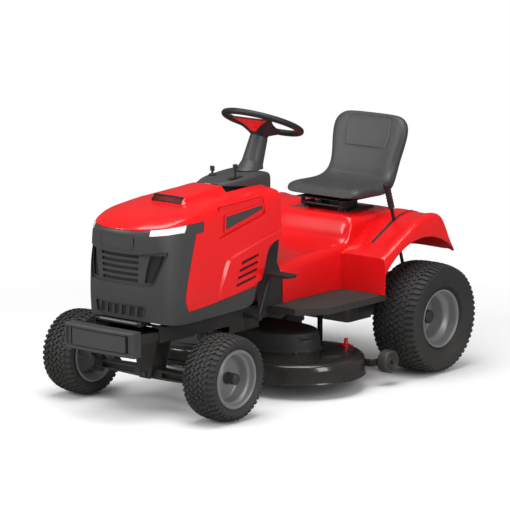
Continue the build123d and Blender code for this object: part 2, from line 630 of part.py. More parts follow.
# ---- rear body and footboards ---------------------------------------------
def body_form(inset):
    """Closed form of tunnel, seat platform and fenders, inset on every side."""
    y, ry = foot_front_y + 112 + inset, rear_axle_y
    half_t, half_p = tower_half - inset, platform_half - inset
    floor, tail = foot_z - 20, 468.0
    seat_y = ry - 175 + inset
    top = platform_z - inset
    side = [(y, floor), (y, foot_z), (y - 38, 457), (y - 60, 503 - inset), (y + 295, 530 - inset),
            (seat_y - 60, 548 - inset), (seat_y - 38, 600), (seat_y, top), (ry + 109 - inset, top),
            (ry + 120 - inset, tail),
            (ry + 60, floor)]
    centre = side_slab(side, -half_t, half_t)
    centre -= both(block(half_p, half_t + 1, seat_y - 100, ry + 200, 560, top + 1))
    half_f = fender_half - inset
    fy = ry - 260 + inset
    wing_side = [(fy, floor), (fy, 512 - inset), (ry - 100, 590 - inset), (ry - 20, 632 - inset),
                 (ry + 108 - inset, 643 - inset), (ry + 212 - inset, tail), (ry + 150, tail), (ry, floor)]
    wing = side_slab(wing_side, -half_f, half_f)
    return centre + wing


def fender_body():
    shape = body_form(0) - body_form(sheet)
    shape -= block(-fender_half - 1, fender_half + 1, foot_front_y, rear_axle_y, foot_z - 30, foot_z)
    shape -= block(-fender_half - 1, fender_half + 1, rear_axle_y, rear_axle_y + 250, foot_z - 30, 478)
    shape -= block(-rail_out - 1, rail_out + 1, foot_front_y, rear_axle_y + 250, foot_z - 30, rail_z1)
    arch = bar_x(tower_half, fender_half + 10, rear_axle_y, rear_tyre_r, arch_r)
    shape -= both(arch)
    shape -= bar_x(-tower_half - 1, tower_half + 1, rear_axle_y, rear_tyre_r, arch_r - 60)
    slot = side_slab([(lift_y - 250, 480), (lift_y + 40, 480), (lift_y + 40, 680), (lift_y - 250, 680)],
                     lift_x - 9, lift_x + 9)
    shape -= slot
    add("fender_body", shape)


def seat_cover():
    y, z = rear_axle_y, seat_z
    profile = [(y - 158, z), (y - 160, z + 26), (y - 130, z + 44), (y + 40, z + 38), (y + 105, z + 62),
               (y + 185, z + 260), (y + 200, z + 312), (y + 225, z + 318), (y + 238, z + 300), (y + 222, z + 220),
               (y + 160, z + 60), (y + 110, z + 4), (y + 60, z - 8), (y - 60, z - 2)]
    body = side_slab(profile, -seat_half, seat_half)
    outline = front_slab([(-seat_half, z - 20), (seat_half, z - 20), (seat_half, z + 240), (seat_half - 50, z + 312),
                          (120, z + 322), (-120, z + 322), (-seat_half + 50, z + 312), (-seat_half, z + 240)],
                         y - 200, y + 260)
    plan = plan_slab([(-seat_half, y + 260), (-seat_half, y - 120), (-seat_half + 45, y - 162),
                      (seat_half - 45, y - 162), (seat_half, y - 120), (seat_half, y + 260)], z - 20, z + 330)
    add("seat_cover", body & outline & plan)


seat_hinge_y, seat_hinge_z, seat_pin_r = rear_axle_y - 130, 664.0, 6.0


def seat_mount():
    y, z = seat_hinge_y, platform_z
    rail = both(block(96, 120, y + 24, y + 190, z, z + 8))
    add("seat_rails", rail)
    slider = block(-126, 126, y + 44, y + 150, z + 8 + gap, z + 12)
    slider += both(block(92, 95.5, y + 44, y + 150, z + 2, z + 10))
    slider += both(block(88, 96, y - 9, y + 60, z + 8 + gap, seat_hinge_z + 9))
    slider -= bar_x(-130, 130, y, seat_hinge_z, seat_pin_r + running)
    add("seat_slider", slider)
    pan = block(-130, 130, y - 12, y + 190, seat_z - 10 - 3.5, seat_z - 10)
    pan += both(block(100, 108, y - 9, y + 9, seat_hinge_z - 9, seat_z - 12))
    pan += bar_x(-112, 112, y, seat_hinge_z, seat_pin_r)
    pan += both(block(60, 90, y + 90, y + 120, z + 12 + gap, seat_z - 12))
    pan += both(block(60, 90, y + 30, y + 60, seat_z - 11, seat_z - 2.4))
    add("seat_pan", pan)


def footboards():
    y0, y1 = foot_front_y, rear_axle_y - 225
    outline = [(tower_half + 1, y0), (foot_half - 90, y0), (foot_half, y0 + 110), (foot_half, y1),
               (tower_half + 1, y1)]
    board = plan_slab(outline, foot_z - foot_thick, foot_z)
    inner = [(tower_half - 5, y0 + 4), (foot_half - 92, y0 + 4), (foot_half - 4, y0 + 112), (foot_half - 4, y1 - 4),
             (tower_half - 5, y1 - 4)]
    board -= plan_slab(inner, foot_z - foot_thick - 1, foot_z - 5)
    for y in (y0 + 60, y1 - 100):
        board += block(rail_out, tower_half + 2, y, y + 40, foot_z - foot_thick, foot_z - 5)
        board += block(tower_half, foot_half - 60, y, y + 40, foot_z - foot_thick, foot_z - 5)
    add("footboards", both(board))


# ---- pedals and lift lever -------------------------------------------------
def pedals():
    y, z, r = pedal_y, pedal_z, pedal_shaft_r
    shaft = bar_x(rail_in - 20, 246, y, z, r)
    shaft += bar_x(rail_out + 2, rail_out + 6, y, z, r + 5)
    bar = rod((240, y, z), (240, y + 70, 492), 7) + bar_x(225, 250, y, z, r + 5)
    pad = block(236, 358, y + 40, y + 100, 492, 500)
    pad = fillet(pad.edges().filter_by(Axis.Z), 12)
    add("brake_pedal", shaft + bar + pad)
    toe = block(-330, -240, y + 60, y + 120, 400, 408)
    drive = flip(shaft + bar_x(225, 250, y, z, r + 5)) + rod((-240, y, z), (-240, y + 66, 404), 7)
    add("drive_pedal", drive + toe)


def height_lever():
    x, y, z = lift_x, lift_y, lift_z
    shaft = bar_x(-rail_out - 12, x + 6, y, z, lift_shaft_r)
    shaft += bar_x(rail_out + 2, rail_out + 8, y, z, lift_shaft_r + 6)
    shaft += bar_x(-rail_out - 8, -rail_out - 2, y, z, lift_shaft_r + 6)
    add("height_lever", shaft)
    def along(t):
        return (x, y - 92 - 48 * t, z + 258 + 144 * t)

    lever = rod((x, y - 10, z + 2), along(0), 7) + Pos(*along(0)) * Sphere(7) + rod(along(0), along(1), 7)
    lever += bar_x(x - 12, x + 12, y, z, lift_shaft_r + 9)
    lever -= bar_x(x - 20, x + 20, y, z, lift_shaft_r)
    add("height_lever", lever)
    grip = rod(along(0.56), along(1.36), 15)
    grip -= rod(along(0.3), along(1), 7)
    add("lever_grip", grip)


# ---- cutting deck ----------------------------------------------------------
def lobe_form(r, z0, z1):
    shape = both(bar_z(lobe_x, deck_y, z0, z1, r))
    return shape + block(-lobe_x, lobe_x, deck_y - r + 30, deck_y + r - 30, z0, z1)


outlet_half = 110.0


def deck_shell():
    """Pressed shell with its side outlet, roller pins and slotted hangers."""
    shape = lobe_form(lobe_r, deck_z0, deck_z1)
    x, y, z = scalp_x, deck_y + 250, deck_z0 + 36
    lug = block(x - 5, x + 1.5, y - 70, y + 12, z - 14, z + 14)
    bridge = block(395, x + 1.5, y - 80, y - 60, z - 14, z + 14)
    wheel_pin = bar_x(x, x + scalp_wheel_w + 8, y, z, 6)
    shape += both(lug + bridge + wheel_pin)
    shape -= lobe_form(lobe_r - plate, deck_z0 - 1, deck_z1 - plate)
    shape -= block(-lobe_x - lobe_r - 1, -lobe_x - 100, deck_y - outlet_half, deck_y + outlet_half,
                   deck_z0 - 1, deck_z1 - plate)
    shape -= both(bar_z(lobe_x, deck_y, deck_z1 - 10, deck_z1 + 1, 30))
    pin_z = rail_z0 + 6
    hanger = block(rail_out + 12, rail_out + 17, deck_y + 175, deck_y + 205, deck_z1, pin_z + 46)
    slot = block(rail_out + 11, rail_out + 18, deck_y + 184, deck_y + 196, pin_z - 20, pin_z + 40)
    shape += both(hanger - slot)
    add("deck_shell", shape)


def hanger_pins():
    y, z = deck_y + 190, rail_z0 + 6
    pin = bar_x(rail_out, rail_out + 18, y, z, 5.5) + bar_x(rail_out + 18, rail_out + 22, y, z, 9)
    add("frame_pins", both(pin))


def scalp_wheels():
    x, y, z = scalp_x, deck_y + 250, deck_z0 + 36
    shape = bar_x(x + 2, x + 2 + scalp_wheel_w, y, z, scalp_wheel_r)
    shape = fillet(shape.edges().filter_by(GeomType.CIRCLE), 5)
    shape -= bar_x(x - 5, x + 60, y, z, 6 + running)
    shape -= bar_x(x + scalp_wheel_w - 6, x + 60, y, z, 30) - bar_x(x - 5, x + 60, y, z, 14)
    pair("scalp_wheel", shape)


def belt_cover():
    top = [(-190, -130), (190, -130), (300, -40), (310, 60), (240, 150), (-240, 150), (-310, 60), (-300, -40)]
    outline = [(x, deck_y + y) for x, y in top]
    inner = [(x * 0.985, deck_y + y * 0.97) for x, y in top]
    shape = plan_slab(outline, deck_z1, cover_z1) - plan_slab(inner, deck_z1 - 1, cover_z1 - plate)
    add("belt_cover", shape)


blade_z, blade_pulley_r = 78.0, 52.0


def blades():
    for side, name in ((1, "left"), (-1, "right")):
        x = side * lobe_x
        shaft = bar_z(x, deck_y, blade_z - 14, cover_z1 - 14, blade_shaft_r)
        shaft += bar_z(x, deck_y, blade_z - 20, blade_z - 14, 20)
        add("blade_spindle_" + name, shaft)
        reach = lobe_r - 14
        bar = block(-reach, reach, -28, 28, blade_z - 4, blade_z)
        bar += block(-reach, -reach + 80, 8, 28, blade_z, blade_z + 10)
        bar += block(reach - 80, reach, -28, -8, blade_z, blade_z + 10)
        bar = Rot(0, 0, 0 if side > 0 else 90) * bar
        add("blade_spindle_" + name, Pos(x, deck_y, 0) * bar - shaft)
        add("blade_spindle_" + name, pulley(x, deck_y, blade_pulley_r, 196, 214, blade_shaft_r))
    housing = bar_z(lobe_x, deck_y, deck_z1 - 45, deck_z1 + 38, 29)
    housing += bar_z(lobe_x, deck_y, deck_z1, deck_z1 + 6, 52)
    housing -= bar_z(lobe_x, deck_y, deck_z1 - 60, deck_z1 + 60, blade_shaft_r + running)
    add("spindle_housings", both(housing))


def deck_belt():
    z0, z1, r = 203.1, 206.9, blade_pulley_r - 9 + gap
    y = deck_y

    def loop(a):
        return both(bar_z(lobe_x, y, z0, z1, a)) + block(-lobe_x, lobe_x, y - a, y + a, z0, z1)

    add("deck_belt", loop(r + 7) - loop(r))


def wash_port():
    x, y = 320.0, deck_y + 190
    shape = bar_z(x, y, deck_z1, deck_z1 + 6, 20) + bar_z(x, y, deck_z1 + 6, deck_z1 + 30, 9)
    shape += block(x - 34, x + 34, y - 9, y + 9, deck_z1, deck_z1 + 4)
    add("wash_port", shape)


flap_x, flap_z = -(lobe_x + lobe_r + 10), deck_z1 - 8


def discharge_flap():
    y0, y1 = deck_y - outlet_half - 8, deck_y + outlet_half + 8
    knuckle = rod((flap_x, y0, flap_z), (flap_x, y1, flap_z), 9)
    wall = front_slab([(flap_x - 8, flap_z - 2), (flap_x - 3, flap_z - 2), (flap_x - 20, deck_z0 - 2),
                       (flap_x - 25, deck_z0 - 2)], y0, y1)
    ribs = front_slab([(flap_x - 6, flap_z), (flap_x + 2, flap_z - 2), (flap_x - 2, deck_z0 + 20),
                       (flap_x - 22, deck_z0)], y0, y0 + 4)
    ribs += Pos(0, y1 - y0 - 4, 0) * ribs
    shape = knuckle + wall + ribs
    shape -= rod((flap_x, y0 - 1, flap_z), (flap_x, y1 + 1, flap_z), 4 + running)
    add("discharge_flap", shape)
    pin = rod((flap_x, y0 - 16, flap_z), (flap_x, y1 + 16, flap_z), 4)
    for y in (y0 - 14, y1 + 8):
        ear = block(flap_x - 7, flap_x + 60, y, y + 6, flap_z - 8, flap_z + 8)
        pin += ear
    pin -= lobe_form(lobe_r, deck_z0, deck_z1)
    add("deck_shell", pin)


def build():
    for make in (frame_rails, engine_plate, battery_tray, battery, axle_bracket, steering_bracket, bumper_brackets,
                 front_bumper, hitch_plate, engine, crankshaft, fuel_tank, traction_belt, transaxle, wheels,
                 front_axle, spindles, steering_links, sector_gear, lower_shaft, steering_wheel, hood, hood_hinge,
                 side_trim, dash_tower, dash_console, column_covers, dash_controls, fender_body, seat_cover,
                 seat_mount, footboards, pedals, height_lever, deck_shell, hanger_pins, scalp_wheels, belt_cover,
                 blades, deck_belt, wash_port, discharge_flap):
        make()
    os.makedirs("parts", exist_ok=True)
    for name, shapes in parts.items():
        solids = [solid for shape in shapes for solid in shape.solids()]
        export_step(Compound(solids) if len(solids) > 1 else solids[0], os.path.join("parts", name + ".step"))


build()
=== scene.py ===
"""Riding lawn mower: the looks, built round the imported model. Metres, front towards -Y."""
import json
import math
import bmesh
import bpy
import numpy as np
from mathutils import Matrix, Vector
from mathutils.bvhtree import BVHTree


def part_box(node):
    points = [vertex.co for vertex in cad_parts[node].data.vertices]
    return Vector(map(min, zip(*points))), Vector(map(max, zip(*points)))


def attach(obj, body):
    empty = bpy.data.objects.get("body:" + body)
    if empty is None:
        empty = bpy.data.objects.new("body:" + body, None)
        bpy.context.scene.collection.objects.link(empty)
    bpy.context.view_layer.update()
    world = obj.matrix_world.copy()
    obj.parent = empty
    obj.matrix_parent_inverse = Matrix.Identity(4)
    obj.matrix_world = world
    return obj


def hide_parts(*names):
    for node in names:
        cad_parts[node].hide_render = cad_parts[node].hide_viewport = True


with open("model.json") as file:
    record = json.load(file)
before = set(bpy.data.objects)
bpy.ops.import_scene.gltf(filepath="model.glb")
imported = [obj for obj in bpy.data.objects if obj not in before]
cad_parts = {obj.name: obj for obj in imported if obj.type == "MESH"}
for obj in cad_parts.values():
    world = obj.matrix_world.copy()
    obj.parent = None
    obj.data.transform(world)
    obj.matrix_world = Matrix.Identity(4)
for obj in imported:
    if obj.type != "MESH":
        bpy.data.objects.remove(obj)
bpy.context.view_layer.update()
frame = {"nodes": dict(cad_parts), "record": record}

# ---- hood, nose and lamps -------------------------------------------------
# Injection-moulded shells: a glossy red hood on a satin grey nose, hinged low at the
# front as one lid. The lenses are clipped into the seam between the two.
MM = 0.001
NOSE_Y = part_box("nose_fascia")[0].y     # foremost line of the nose
SHELL = 3 * MM


def principled(name, color, roughness, **sockets):
    """A new material; returns it with its tree and its Principled shader."""
    mat = bpy.data.materials.new(name)
    mat.use_nodes = True
    tree = mat.node_tree
    shader = tree.nodes["Principled BSDF"]
    shader.inputs["Base Color"].default_value = (*color, 1)
    shader.inputs["Roughness"].default_value = roughness
    for socket, value in sockets.items():
        shader.inputs[socket.replace("_", " ")].default_value = value
    return mat, tree, shader


def surface_group():
    """Shared finish: fine grain bump, cloudy colour change and dust in the low places."""
    g = bpy.data.node_groups.new("surface_finish", "ShaderNodeTree")
    for label, kind, value in (
            ("Color", "NodeSocketColor", (1, 1, 1, 1)), ("Roughness", "NodeSocketFloat", 0.4),
            ("Grain Scale", "NodeSocketFloat", 900.0), ("Grain Depth", "NodeSocketFloat", 0.05),
            ("Cloud", "NodeSocketFloat", 0.08), ("Dust", "NodeSocketFloat", 0.1),
            ("Grain Distance", "NodeSocketFloat", 0.001)):
        sock = g.interface.new_socket(label, in_out="INPUT", socket_type=kind)
        sock.default_value = value
    for label, kind in (("Color", "NodeSocketColor"), ("Roughness", "NodeSocketFloat"),
                        ("Normal", "NodeSocketVector")):
        g.interface.new_socket(label, in_out="OUTPUT", socket_type=kind)
    n, link = g.nodes, g.links.new
    gin, gout = n.new("NodeGroupInput"), n.new("NodeGroupOutput")
    where = n.new("ShaderNodeTexCoord")
    grain = n.new("ShaderNodeTexNoise")
    grain.inputs["Detail"].default_value = 3
    link(where.outputs["Object"], grain.inputs["Vector"])
    link(gin.outputs["Grain Scale"], grain.inputs["Scale"])
    cloud = n.new("ShaderNodeTexNoise")
    cloud.inputs["Scale"].default_value = 7
    cloud.inputs["Detail"].default_value = 5
    link(where.outputs["Object"], cloud.inputs["Vector"])
    sep = n.new("ShaderNodeSeparateXYZ")
    link(where.outputs["Object"], sep.inputs[0])
    low = n.new("ShaderNodeMapRange")
    low.inputs["From Min"].default_value = 0.55
    low.inputs["From Max"].default_value = 0.0
    link(sep.outputs["Z"], low.inputs["Value"])
    dust = n.new("ShaderNodeMath")
    dust.operation = "MULTIPLY"
    link(low.outputs["Result"], dust.inputs[0])
    link(gin.outputs["Dust"], dust.inputs[1])
    speck = n.new("ShaderNodeMath")
    speck.operation = "MULTIPLY"
    link(dust.outputs[0], speck.inputs[0])
    link(cloud.outputs["Fac"], speck.inputs[1])
    shade = n.new("ShaderNodeMapRange")
    shade.inputs["From Min"].default_value = 0.3
    shade.inputs["From Max"].default_value = 0.7
    link(cloud.outputs["Fac"], shade.inputs["Value"])
    one = n.new("ShaderNodeMath")
    one.operation = "SUBTRACT"
    one.inputs[0].default_value = 1.0
    link(gin.outputs["Cloud"], one.inputs[1])
    link(one.outputs[0], shade.inputs["To Min"])
    darker = n.new("ShaderNodeMix")
    darker.data_type, darker.blend_type = "RGBA", "MULTIPLY"
    darker.inputs[0].default_value = 1.0
    grey = n.new("ShaderNodeCombineColor")
    for channel in range(3):
        link(shade.outputs["Result"], grey.inputs[channel])
    link(gin.outputs["Color"], darker.inputs[6])
    link(grey.outputs[0], darker.inputs[7])
    dusty = n.new("ShaderNodeMix")
    dusty.data_type = "RGBA"
    dusty.inputs[7].default_value = (0.30, 0.27, 0.22, 1)
    link(speck.outputs[0], dusty.inputs[0])
    link(darker.outputs[2], dusty.inputs[6])
    link(dusty.outputs[2], gout.inputs["Color"])
    rough = n.new("ShaderNodeMath")
    rough.operation = "MULTIPLY_ADD"
    link(cloud.outputs["Fac"], rough.inputs[0])
    link(gin.outputs["Cloud"], rough.inputs[1])
    link(gin.outputs["Roughness"], rough.inputs[2])
    link(rough.outputs[0], gout.inputs["Roughness"])
    bump = n.new("ShaderNodeBump")
    link(gin.outputs["Grain Depth"], bump.inputs["Strength"])
    link(gin.outputs["Grain Distance"], bump.inputs["Distance"])
    link(grain.outputs["Fac"], bump.inputs["Height"])
    link(bump.outputs["Normal"], gout.inputs["Normal"])
    return g


finish_group = surface_group()


def finished(name, color, roughness, grain=900, depth=0.05, cloud=0.08, dust=0.1, distance=0.001, **sockets):
    """A material whose colour, roughness and normal come through the shared finish."""
    mat, tree, shader = principled(name, color, roughness, **sockets)
    node = tree.nodes.new("ShaderNodeGroup")
    node.node_tree = finish_group
    node.inputs["Color"].default_value = (*color, 1)
    values = {"Roughness": roughness, "Grain Scale": grain, "Grain Depth": depth, "Cloud": cloud, "Dust": dust,
              "Grain Distance": distance}
    for socket, value in values.items():
        node.inputs[socket].default_value = value
    tree.links.new(node.outputs["Color"], shader.inputs["Base Color"])
    tree.links.new(node.outputs["Roughness"], shader.inputs["Roughness"])
    tree.links.new(node.outputs["Normal"], shader.inputs["Normal"])
    return mat


red_gloss = finished("red_gloss_plastic", (0.80, 0.005, 0.007), 0.24, grain=260, depth=0.03, cloud=0.05,
                     dust=0.06, Coat_Weight=0.5, Coat_Roughness=0.06)
grey_satin = finished("grey_satin_plastic", (0.052, 0.052, 0.054), 0.42, grain=1400, depth=0.10, cloud=0.06,
                      dust=0.08)
black_matt = finished("black_matt_plastic", (0.018, 0.018, 0.019), 0.55, grain=1200, depth=0.12, cloud=0.1,
                      dust=0.15)


def piece(name, bm, mat, body, smooth=35, replaces=()):
    """Turns a bmesh into a finished, riding object, smooth up to an angle in degrees."""
    bmesh.ops.remove_doubles(bm, verts=bm.verts, dist=1e-6)
    mesh = bpy.data.meshes.new(name)
    bm.to_mesh(mesh)
    bm.free()
    mesh.materials.append(mat)
    obj = bpy.data.objects.new(name, mesh)
    bpy.context.scene.collection.objects.link(obj)
    mesh.shade_smooth()
    mesh.set_sharp_from_angle(angle=math.radians(smooth))
    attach(obj, body)
    if replaces:
        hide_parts(*replaces)
    return obj


def bake(obj):
    """Applies every modifier of an object to its mesh."""
    depsgraph = bpy.context.evaluated_depsgraph_get()
    mesh = bpy.data.meshes.new_from_object(obj.evaluated_get(depsgraph), depsgraph=depsgraph)
    old = obj.data
    obj.modifiers.clear()
    obj.data = mesh
    bpy.data.meshes.remove(old)
    return obj


def scratch(name, bm):
    """A passing object for modifiers to work on; the bmesh is used up."""
    mesh = bpy.data.meshes.new(name)
    bm.to_mesh(mesh)
    bm.free()
    obj = bpy.data.objects.new(name, mesh)
    bpy.context.scene.collection.objects.link(obj)
    return obj


def subdivided(bm, levels, name="cage"):
    """Catmull-Clark surface of a creased cage, as a new bmesh."""
    obj = scratch(name, bm)
    mod = obj.modifiers.new("smooth", "SUBSURF")
    mod.levels = mod.render_levels = levels
    bake(obj)
    out = bmesh.new()
    out.from_mesh(obj.data)
    mesh = obj.data
    bpy.data.objects.remove(obj)
    bpy.data.meshes.remove(mesh)
    return out


def mirrored(bm):
    """Adds the mirror image across X and welds the middle."""
    geom = bm.verts[:] + bm.edges[:] + bm.faces[:]
    copy = bmesh.ops.duplicate(bm, geom=geom)["geom"]
    for v in [g for g in copy if isinstance(g, bmesh.types.BMVert)]:
        v.co.x = -v.co.x
    bmesh.ops.reverse_faces(bm, faces=[g for g in copy if isinstance(g, bmesh.types.BMFace)])
    bmesh.ops.remove_doubles(bm, verts=bm.verts, dist=1e-5)
    return bm


# Side stations, rear to front: depth behind the nose line and height of each of the
# eight wall rows, from the skirt's hem up to the shoulder; then half-widths.
ROWS = 8
side_width = (213, 215, 215, 215, 214, 214, 212, 205)
wall = [
    ((765,) * 8, (600, 626, 640, 660, 690, 735, 767, 800), (212, 212, 212, 212, 211, 209, 207, 204)),
    ((676,) * 8, (590, 606, 618, 640, 680, 732, 765, 798), side_width),
    ((640,) * 8, (470, 490, 520, 575, 665, 730, 764, 797), side_width),
    ((600,) * 8, (372, 461, 492, 560, 660, 728, 763, 796), side_width),
    ((500,) * 8, (369, 445, 477, 545, 655, 726, 760, 793), side_width),
    ((420,) * 8, (367, 433, 465, 540, 655, 724, 757, 790), side_width),
    ((330,) * 8, (365, 421, 457, 535, 655, 721, 755, 786), side_width),
    ((260, 262, 235, 250, 272, 287, 292, 298), (363, 415, 452, 530, 655, 718, 752, 783), side_width),
    ((190, 198, 160, 186, 225, 243, 250, 250), (362, 410, 446, 530, 655, 714, 752, 778), side_width),
    ((150, 160, 142, 155, 182, 215, 226, 215), (364, 410, 446, 530, 655, 726, 752, 774), side_width),
    ((127, 127, 125, 128, 148, 187, 201, 182), (366, 410, 446, 530, 655, 735, 752, 769), side_width),
    ((92, 90, 88, 90, 104, 118, 134, 124), (371, 411, 446, 530, 655, 733, 747, 759),
     (202, 202, 203, 203, 202, 200, 198, 188)),
    ((66, 64, 62, 62, 70, 76, 92, 84), (376, 412, 446, 530, 655, 731, 744, 754),
     (180, 180, 181, 181, 180, 178, 176, 166)),
    ((50, 48, 45, 42, 46, 44, 60, 54), (380, 413, 446, 530, 655, 729, 741, 749),
     (152, 152, 153, 153, 152, 150, 148, 142)),
    ((36, 34, 29, 24, 22, 16, 24, 20), (384, 415, 446, 530, 656, 727, 738, 745),
     (88, 88, 88, 88, 88, 88, 88, 84)),
    ((28, 26, 21, 15, 12, 4, 10, 4), (385, 415, 446, 530, 657, 726, 737, 742), (0,) * 8),
]
CORNER = 10                         # station whose shoulder point is the roof's front corner
HOOK, SEAM, SKIRT_END = 7, 8, 3     # stations of the nose's hooks, the seam and the skirt's rear end
# Roof lines from the shoulder to the middle, at each side station: (half-width, depth, height)
roof = [
    [(190, 765, 815), (124, 765, 822), (92, 765, 829), (76, 765, 845), (0, 765, 849)],
    [(190, 676, 814), (124, 676, 821), (92, 676, 829), (76, 676, 845), (0, 676, 849)],
    [(189, 640, 813), (123, 640, 820), (92, 640, 828), (76, 640, 845), (0, 640, 849)],
    [(188, 600, 812), (122, 600, 819), (92, 600, 827), (76, 600, 844), (0, 600, 849)],
    [(187, 500, 808), (120, 500, 814), (91, 500, 821), (76, 500, 840), (0, 500, 844)],
    [(186, 420, 804), (120, 420, 809), (90, 420, 815), (76, 420, 833), (0, 420, 837)],
    [(185, 330, 799), (119, 330, 803), (89, 328, 807), (77, 326, 822), (0, 324, 826)],
    [(184, 298, 795), (118, 300, 799), (88, 304, 800), (78, 306, 800), (0, 306, 801)],
    [(183, 248, 790), (117, 228, 792), (88, 215, 792), (77, 210, 791), (0, 206, 791)],
    [(184, 200, 784), (124, 145, 783), (96, 110, 780), (70, 92, 776), (0, 84, 774)],
]


def hood_cage():
    """Half cage of hood and nose; a face's tag tells red 0, grey 1, lens 2 or nothing 9."""
    bm = bmesh.new()
    tag = bm.faces.layers.int.new("part")
    crease = bm.edges.layers.float.new("crease_edge")

    def vert(x, d, z):
        return bm.verts.new((x * MM, NOSE_Y + d * MM, z * MM))

    grid = [[vert(w[r], d[r], z[r]) for r in range(ROWS)] for d, z, w in wall]
    top = [[grid[k][-1]] + [vert(*p) for p in line] for k, line in enumerate(roof)]
    top.append([grid[CORNER + j][-1] for j in range(6)])
    for c in range(len(grid) - 1):
        for r in range(ROWS - 1):
            if r == 0 and c < SKIRT_END:
                continue
            f = bm.faces.new((grid[c][r], grid[c][r + 1], grid[c + 1][r + 1], grid[c + 1][r]))
            in_nose = c >= SEAM and r < 6 or r == 0 or (r == 5 and c >= HOOK)
            f[tag] = 1 if in_nose else 0
            if r == 5 and CORNER <= c < CORNER + 3:
                f[tag] = 2
    for k in range(len(top) - 1):
        for j in range(5):
            f = bm.faces.new((top[k][j], top[k][j + 1], top[k + 1][j + 1], top[k + 1][j]))
            f[tag] = 0
    bm.edges.ensure_lookup_table()

    def sharpen(a, b, value):
        e = bm.edges.get((a, b))
        if e:
            e[crease] = value

    for k in range(7):
        sharpen(top[k][3], top[k + 1][3], 0.75)
        sharpen(top[k][4], top[k + 1][4], 0.7)
        sharpen(top[k][2], top[k + 1][2], 0.55)
    for k in range(7, 9):
        sharpen(top[k][2], top[k + 1][2], 0.4)
    for j in range(2, 5):
        sharpen(top[6][j + 1], top[6][j], 0.8)
        sharpen(top[7][j + 1], top[7][j], 0.8)
    for c in range(CORNER, len(grid) - 1):
        sharpen(grid[c][6], grid[c + 1][6], 0.5)
        sharpen(grid[c][1], grid[c + 1][1], 0.2)
    mirrored(bm)
    bmesh.ops.recalc_face_normals(bm, faces=bm.faces)
    if sum(f.normal.z for f in bm.faces) < 0:
        bmesh.ops.reverse_faces(bm, faces=bm.faces)
    return bm


def part_of(bm, value, gap_width):
    """The faces of one tag, drawn back from their seams by half a gap."""
    out = bm.copy()
    tag = out.faces.layers.int.get("part")
    drop = [f for f in out.faces if f[tag] != value]
    bmesh.ops.delete(out, geom=drop, context="FACES")
    moves = {}
    for v in out.verts:
        if not v.is_boundary:
            continue
        inner = [e.other_vert(v).co for e in v.link_edges if not e.is_boundary]
        if inner:
            way = sum(inner, Vector()) / len(inner) - v.co
            moves[v] = way.normalized() * min(gap_width, way.length * 0.6)
    for v, move in moves.items():
        v.co += move
    return out


def walled(bm, thickness, offset=-1, even=True):
    """Gives an open skin a wall inwards (or outwards, with 1); even=False suits tight corners."""
    obj = scratch("skin", bm)
    mod = obj.modifiers.new("wall", "SOLIDIFY")
    mod.thickness, mod.offset, mod.use_even_offset = thickness, offset, even
    bake(obj)
    out = bmesh.new()
    out.from_mesh(obj.data)
    bpy.data.objects.remove(obj)
    return out


hood_skin = subdivided(hood_cage(), 3)


def outward(bm):
    """Turns a closed mesh's faces to its outside."""
    bmesh.ops.recalc_face_normals(bm, faces=bm.faces)
    if bm.calc_volume(signed=True) < 0:
        bmesh.ops.reverse_faces(bm, faces=bm.faces)
    return bm


def prism_x(points, x0, x1):
    """Closed slab from a (y, z) outline in metres, between two widths."""
    bm = bmesh.new()
    near = [bm.verts.new((x1, y, z)) for y, z in points]
    far = [bm.verts.new((x0, y, z)) for y, z in points]
    bm.faces.new(near)
    bm.faces.new(list(reversed(far)))
    for i in range(len(points)):
        j = (i + 1) % len(points)
        bm.faces.new((near[i], far[i], far[j], near[j]))
    return outward(bm)


def box_mesh(lo, hi):
    """A sharp-edged box between two corners, in metres."""
    return prism_x([(lo[1], lo[2]), (hi[1], lo[2]), (hi[1], hi[2]), (lo[1], hi[2])], lo[0], hi[0])


def joined(*meshes):
    """One bmesh with the geometry of several."""
    out = meshes[0]
    for other in meshes[1:]:
        mesh = bpy.data.meshes.new("part")
        other.to_mesh(mesh)
        other.free()
        out.from_mesh(mesh)
        bpy.data.meshes.remove(mesh)
    return out


def carve(bm, cutter, operation="DIFFERENCE"):
    """Boolean of two bmeshes; both are used up."""
    a, b = scratch("body", bm), scratch("cutter", cutter)
    mod = a.modifiers.new("cut", "BOOLEAN")
    mod.object, mod.operation, mod.solver = b, operation, "EXACT"
    bake(a)
    out = bmesh.new()
    out.from_mesh(a.data)
    for obj in (a, b):
        mesh = obj.data
        bpy.data.objects.remove(obj)
        bpy.data.meshes.remove(mesh)
    return out


def side(d, z):
    """A point on the hood's side as (y, z) in metres, from depth and height in mm."""
    return NOSE_Y + d * MM, z * MM


def both_sides(bm):
    """A left-hand shape with its mirror image on the right."""
    copy = bm.copy()
    for v in copy.verts:
        v.co.x = -v.co.x
    bmesh.ops.reverse_faces(copy, faces=copy.faces)
    return joined(bm, copy)


red = walled(part_of(hood_skin, 0, 0.9 * MM), SHELL)
recess = [side(379, 669), side(386, 792), side(655, 802), side(662, 738), side(650, 730)]
red = carve(red, both_sides(prism_x(recess, 0.19, 0.23)))
console_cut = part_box("dash_console")
red = carve(red, box_mesh((console_cut[0].x - 3 * MM, console_cut[0].y - 4 * MM, 0.80),
                          (console_cut[1].x + 3 * MM, 0.1, 0.95)))
floor_x = 0.2065                    # face of the trim plate's recess
pan = prism_x(recess, floor_x - SHELL, floor_x)
rim = []
for a, b in zip(recess, recess[1:] + recess[:1]):
    along = Vector((b[0] - a[0], b[1] - a[1])).normalized() * 0.5 * MM
    out = Vector((along.y, -along.x)) * 4
    quad = [(a[0] - along.x, a[1] - along.y), (b[0] + along.x, b[1] + along.y),
            (b[0] + along.x + out.x, b[1] + along.y + out.y), (a[0] - along.x + out.x, a[1] - along.y + out.y)]
    rim.append(prism_x(quad, floor_x - SHELL, 0.2095))
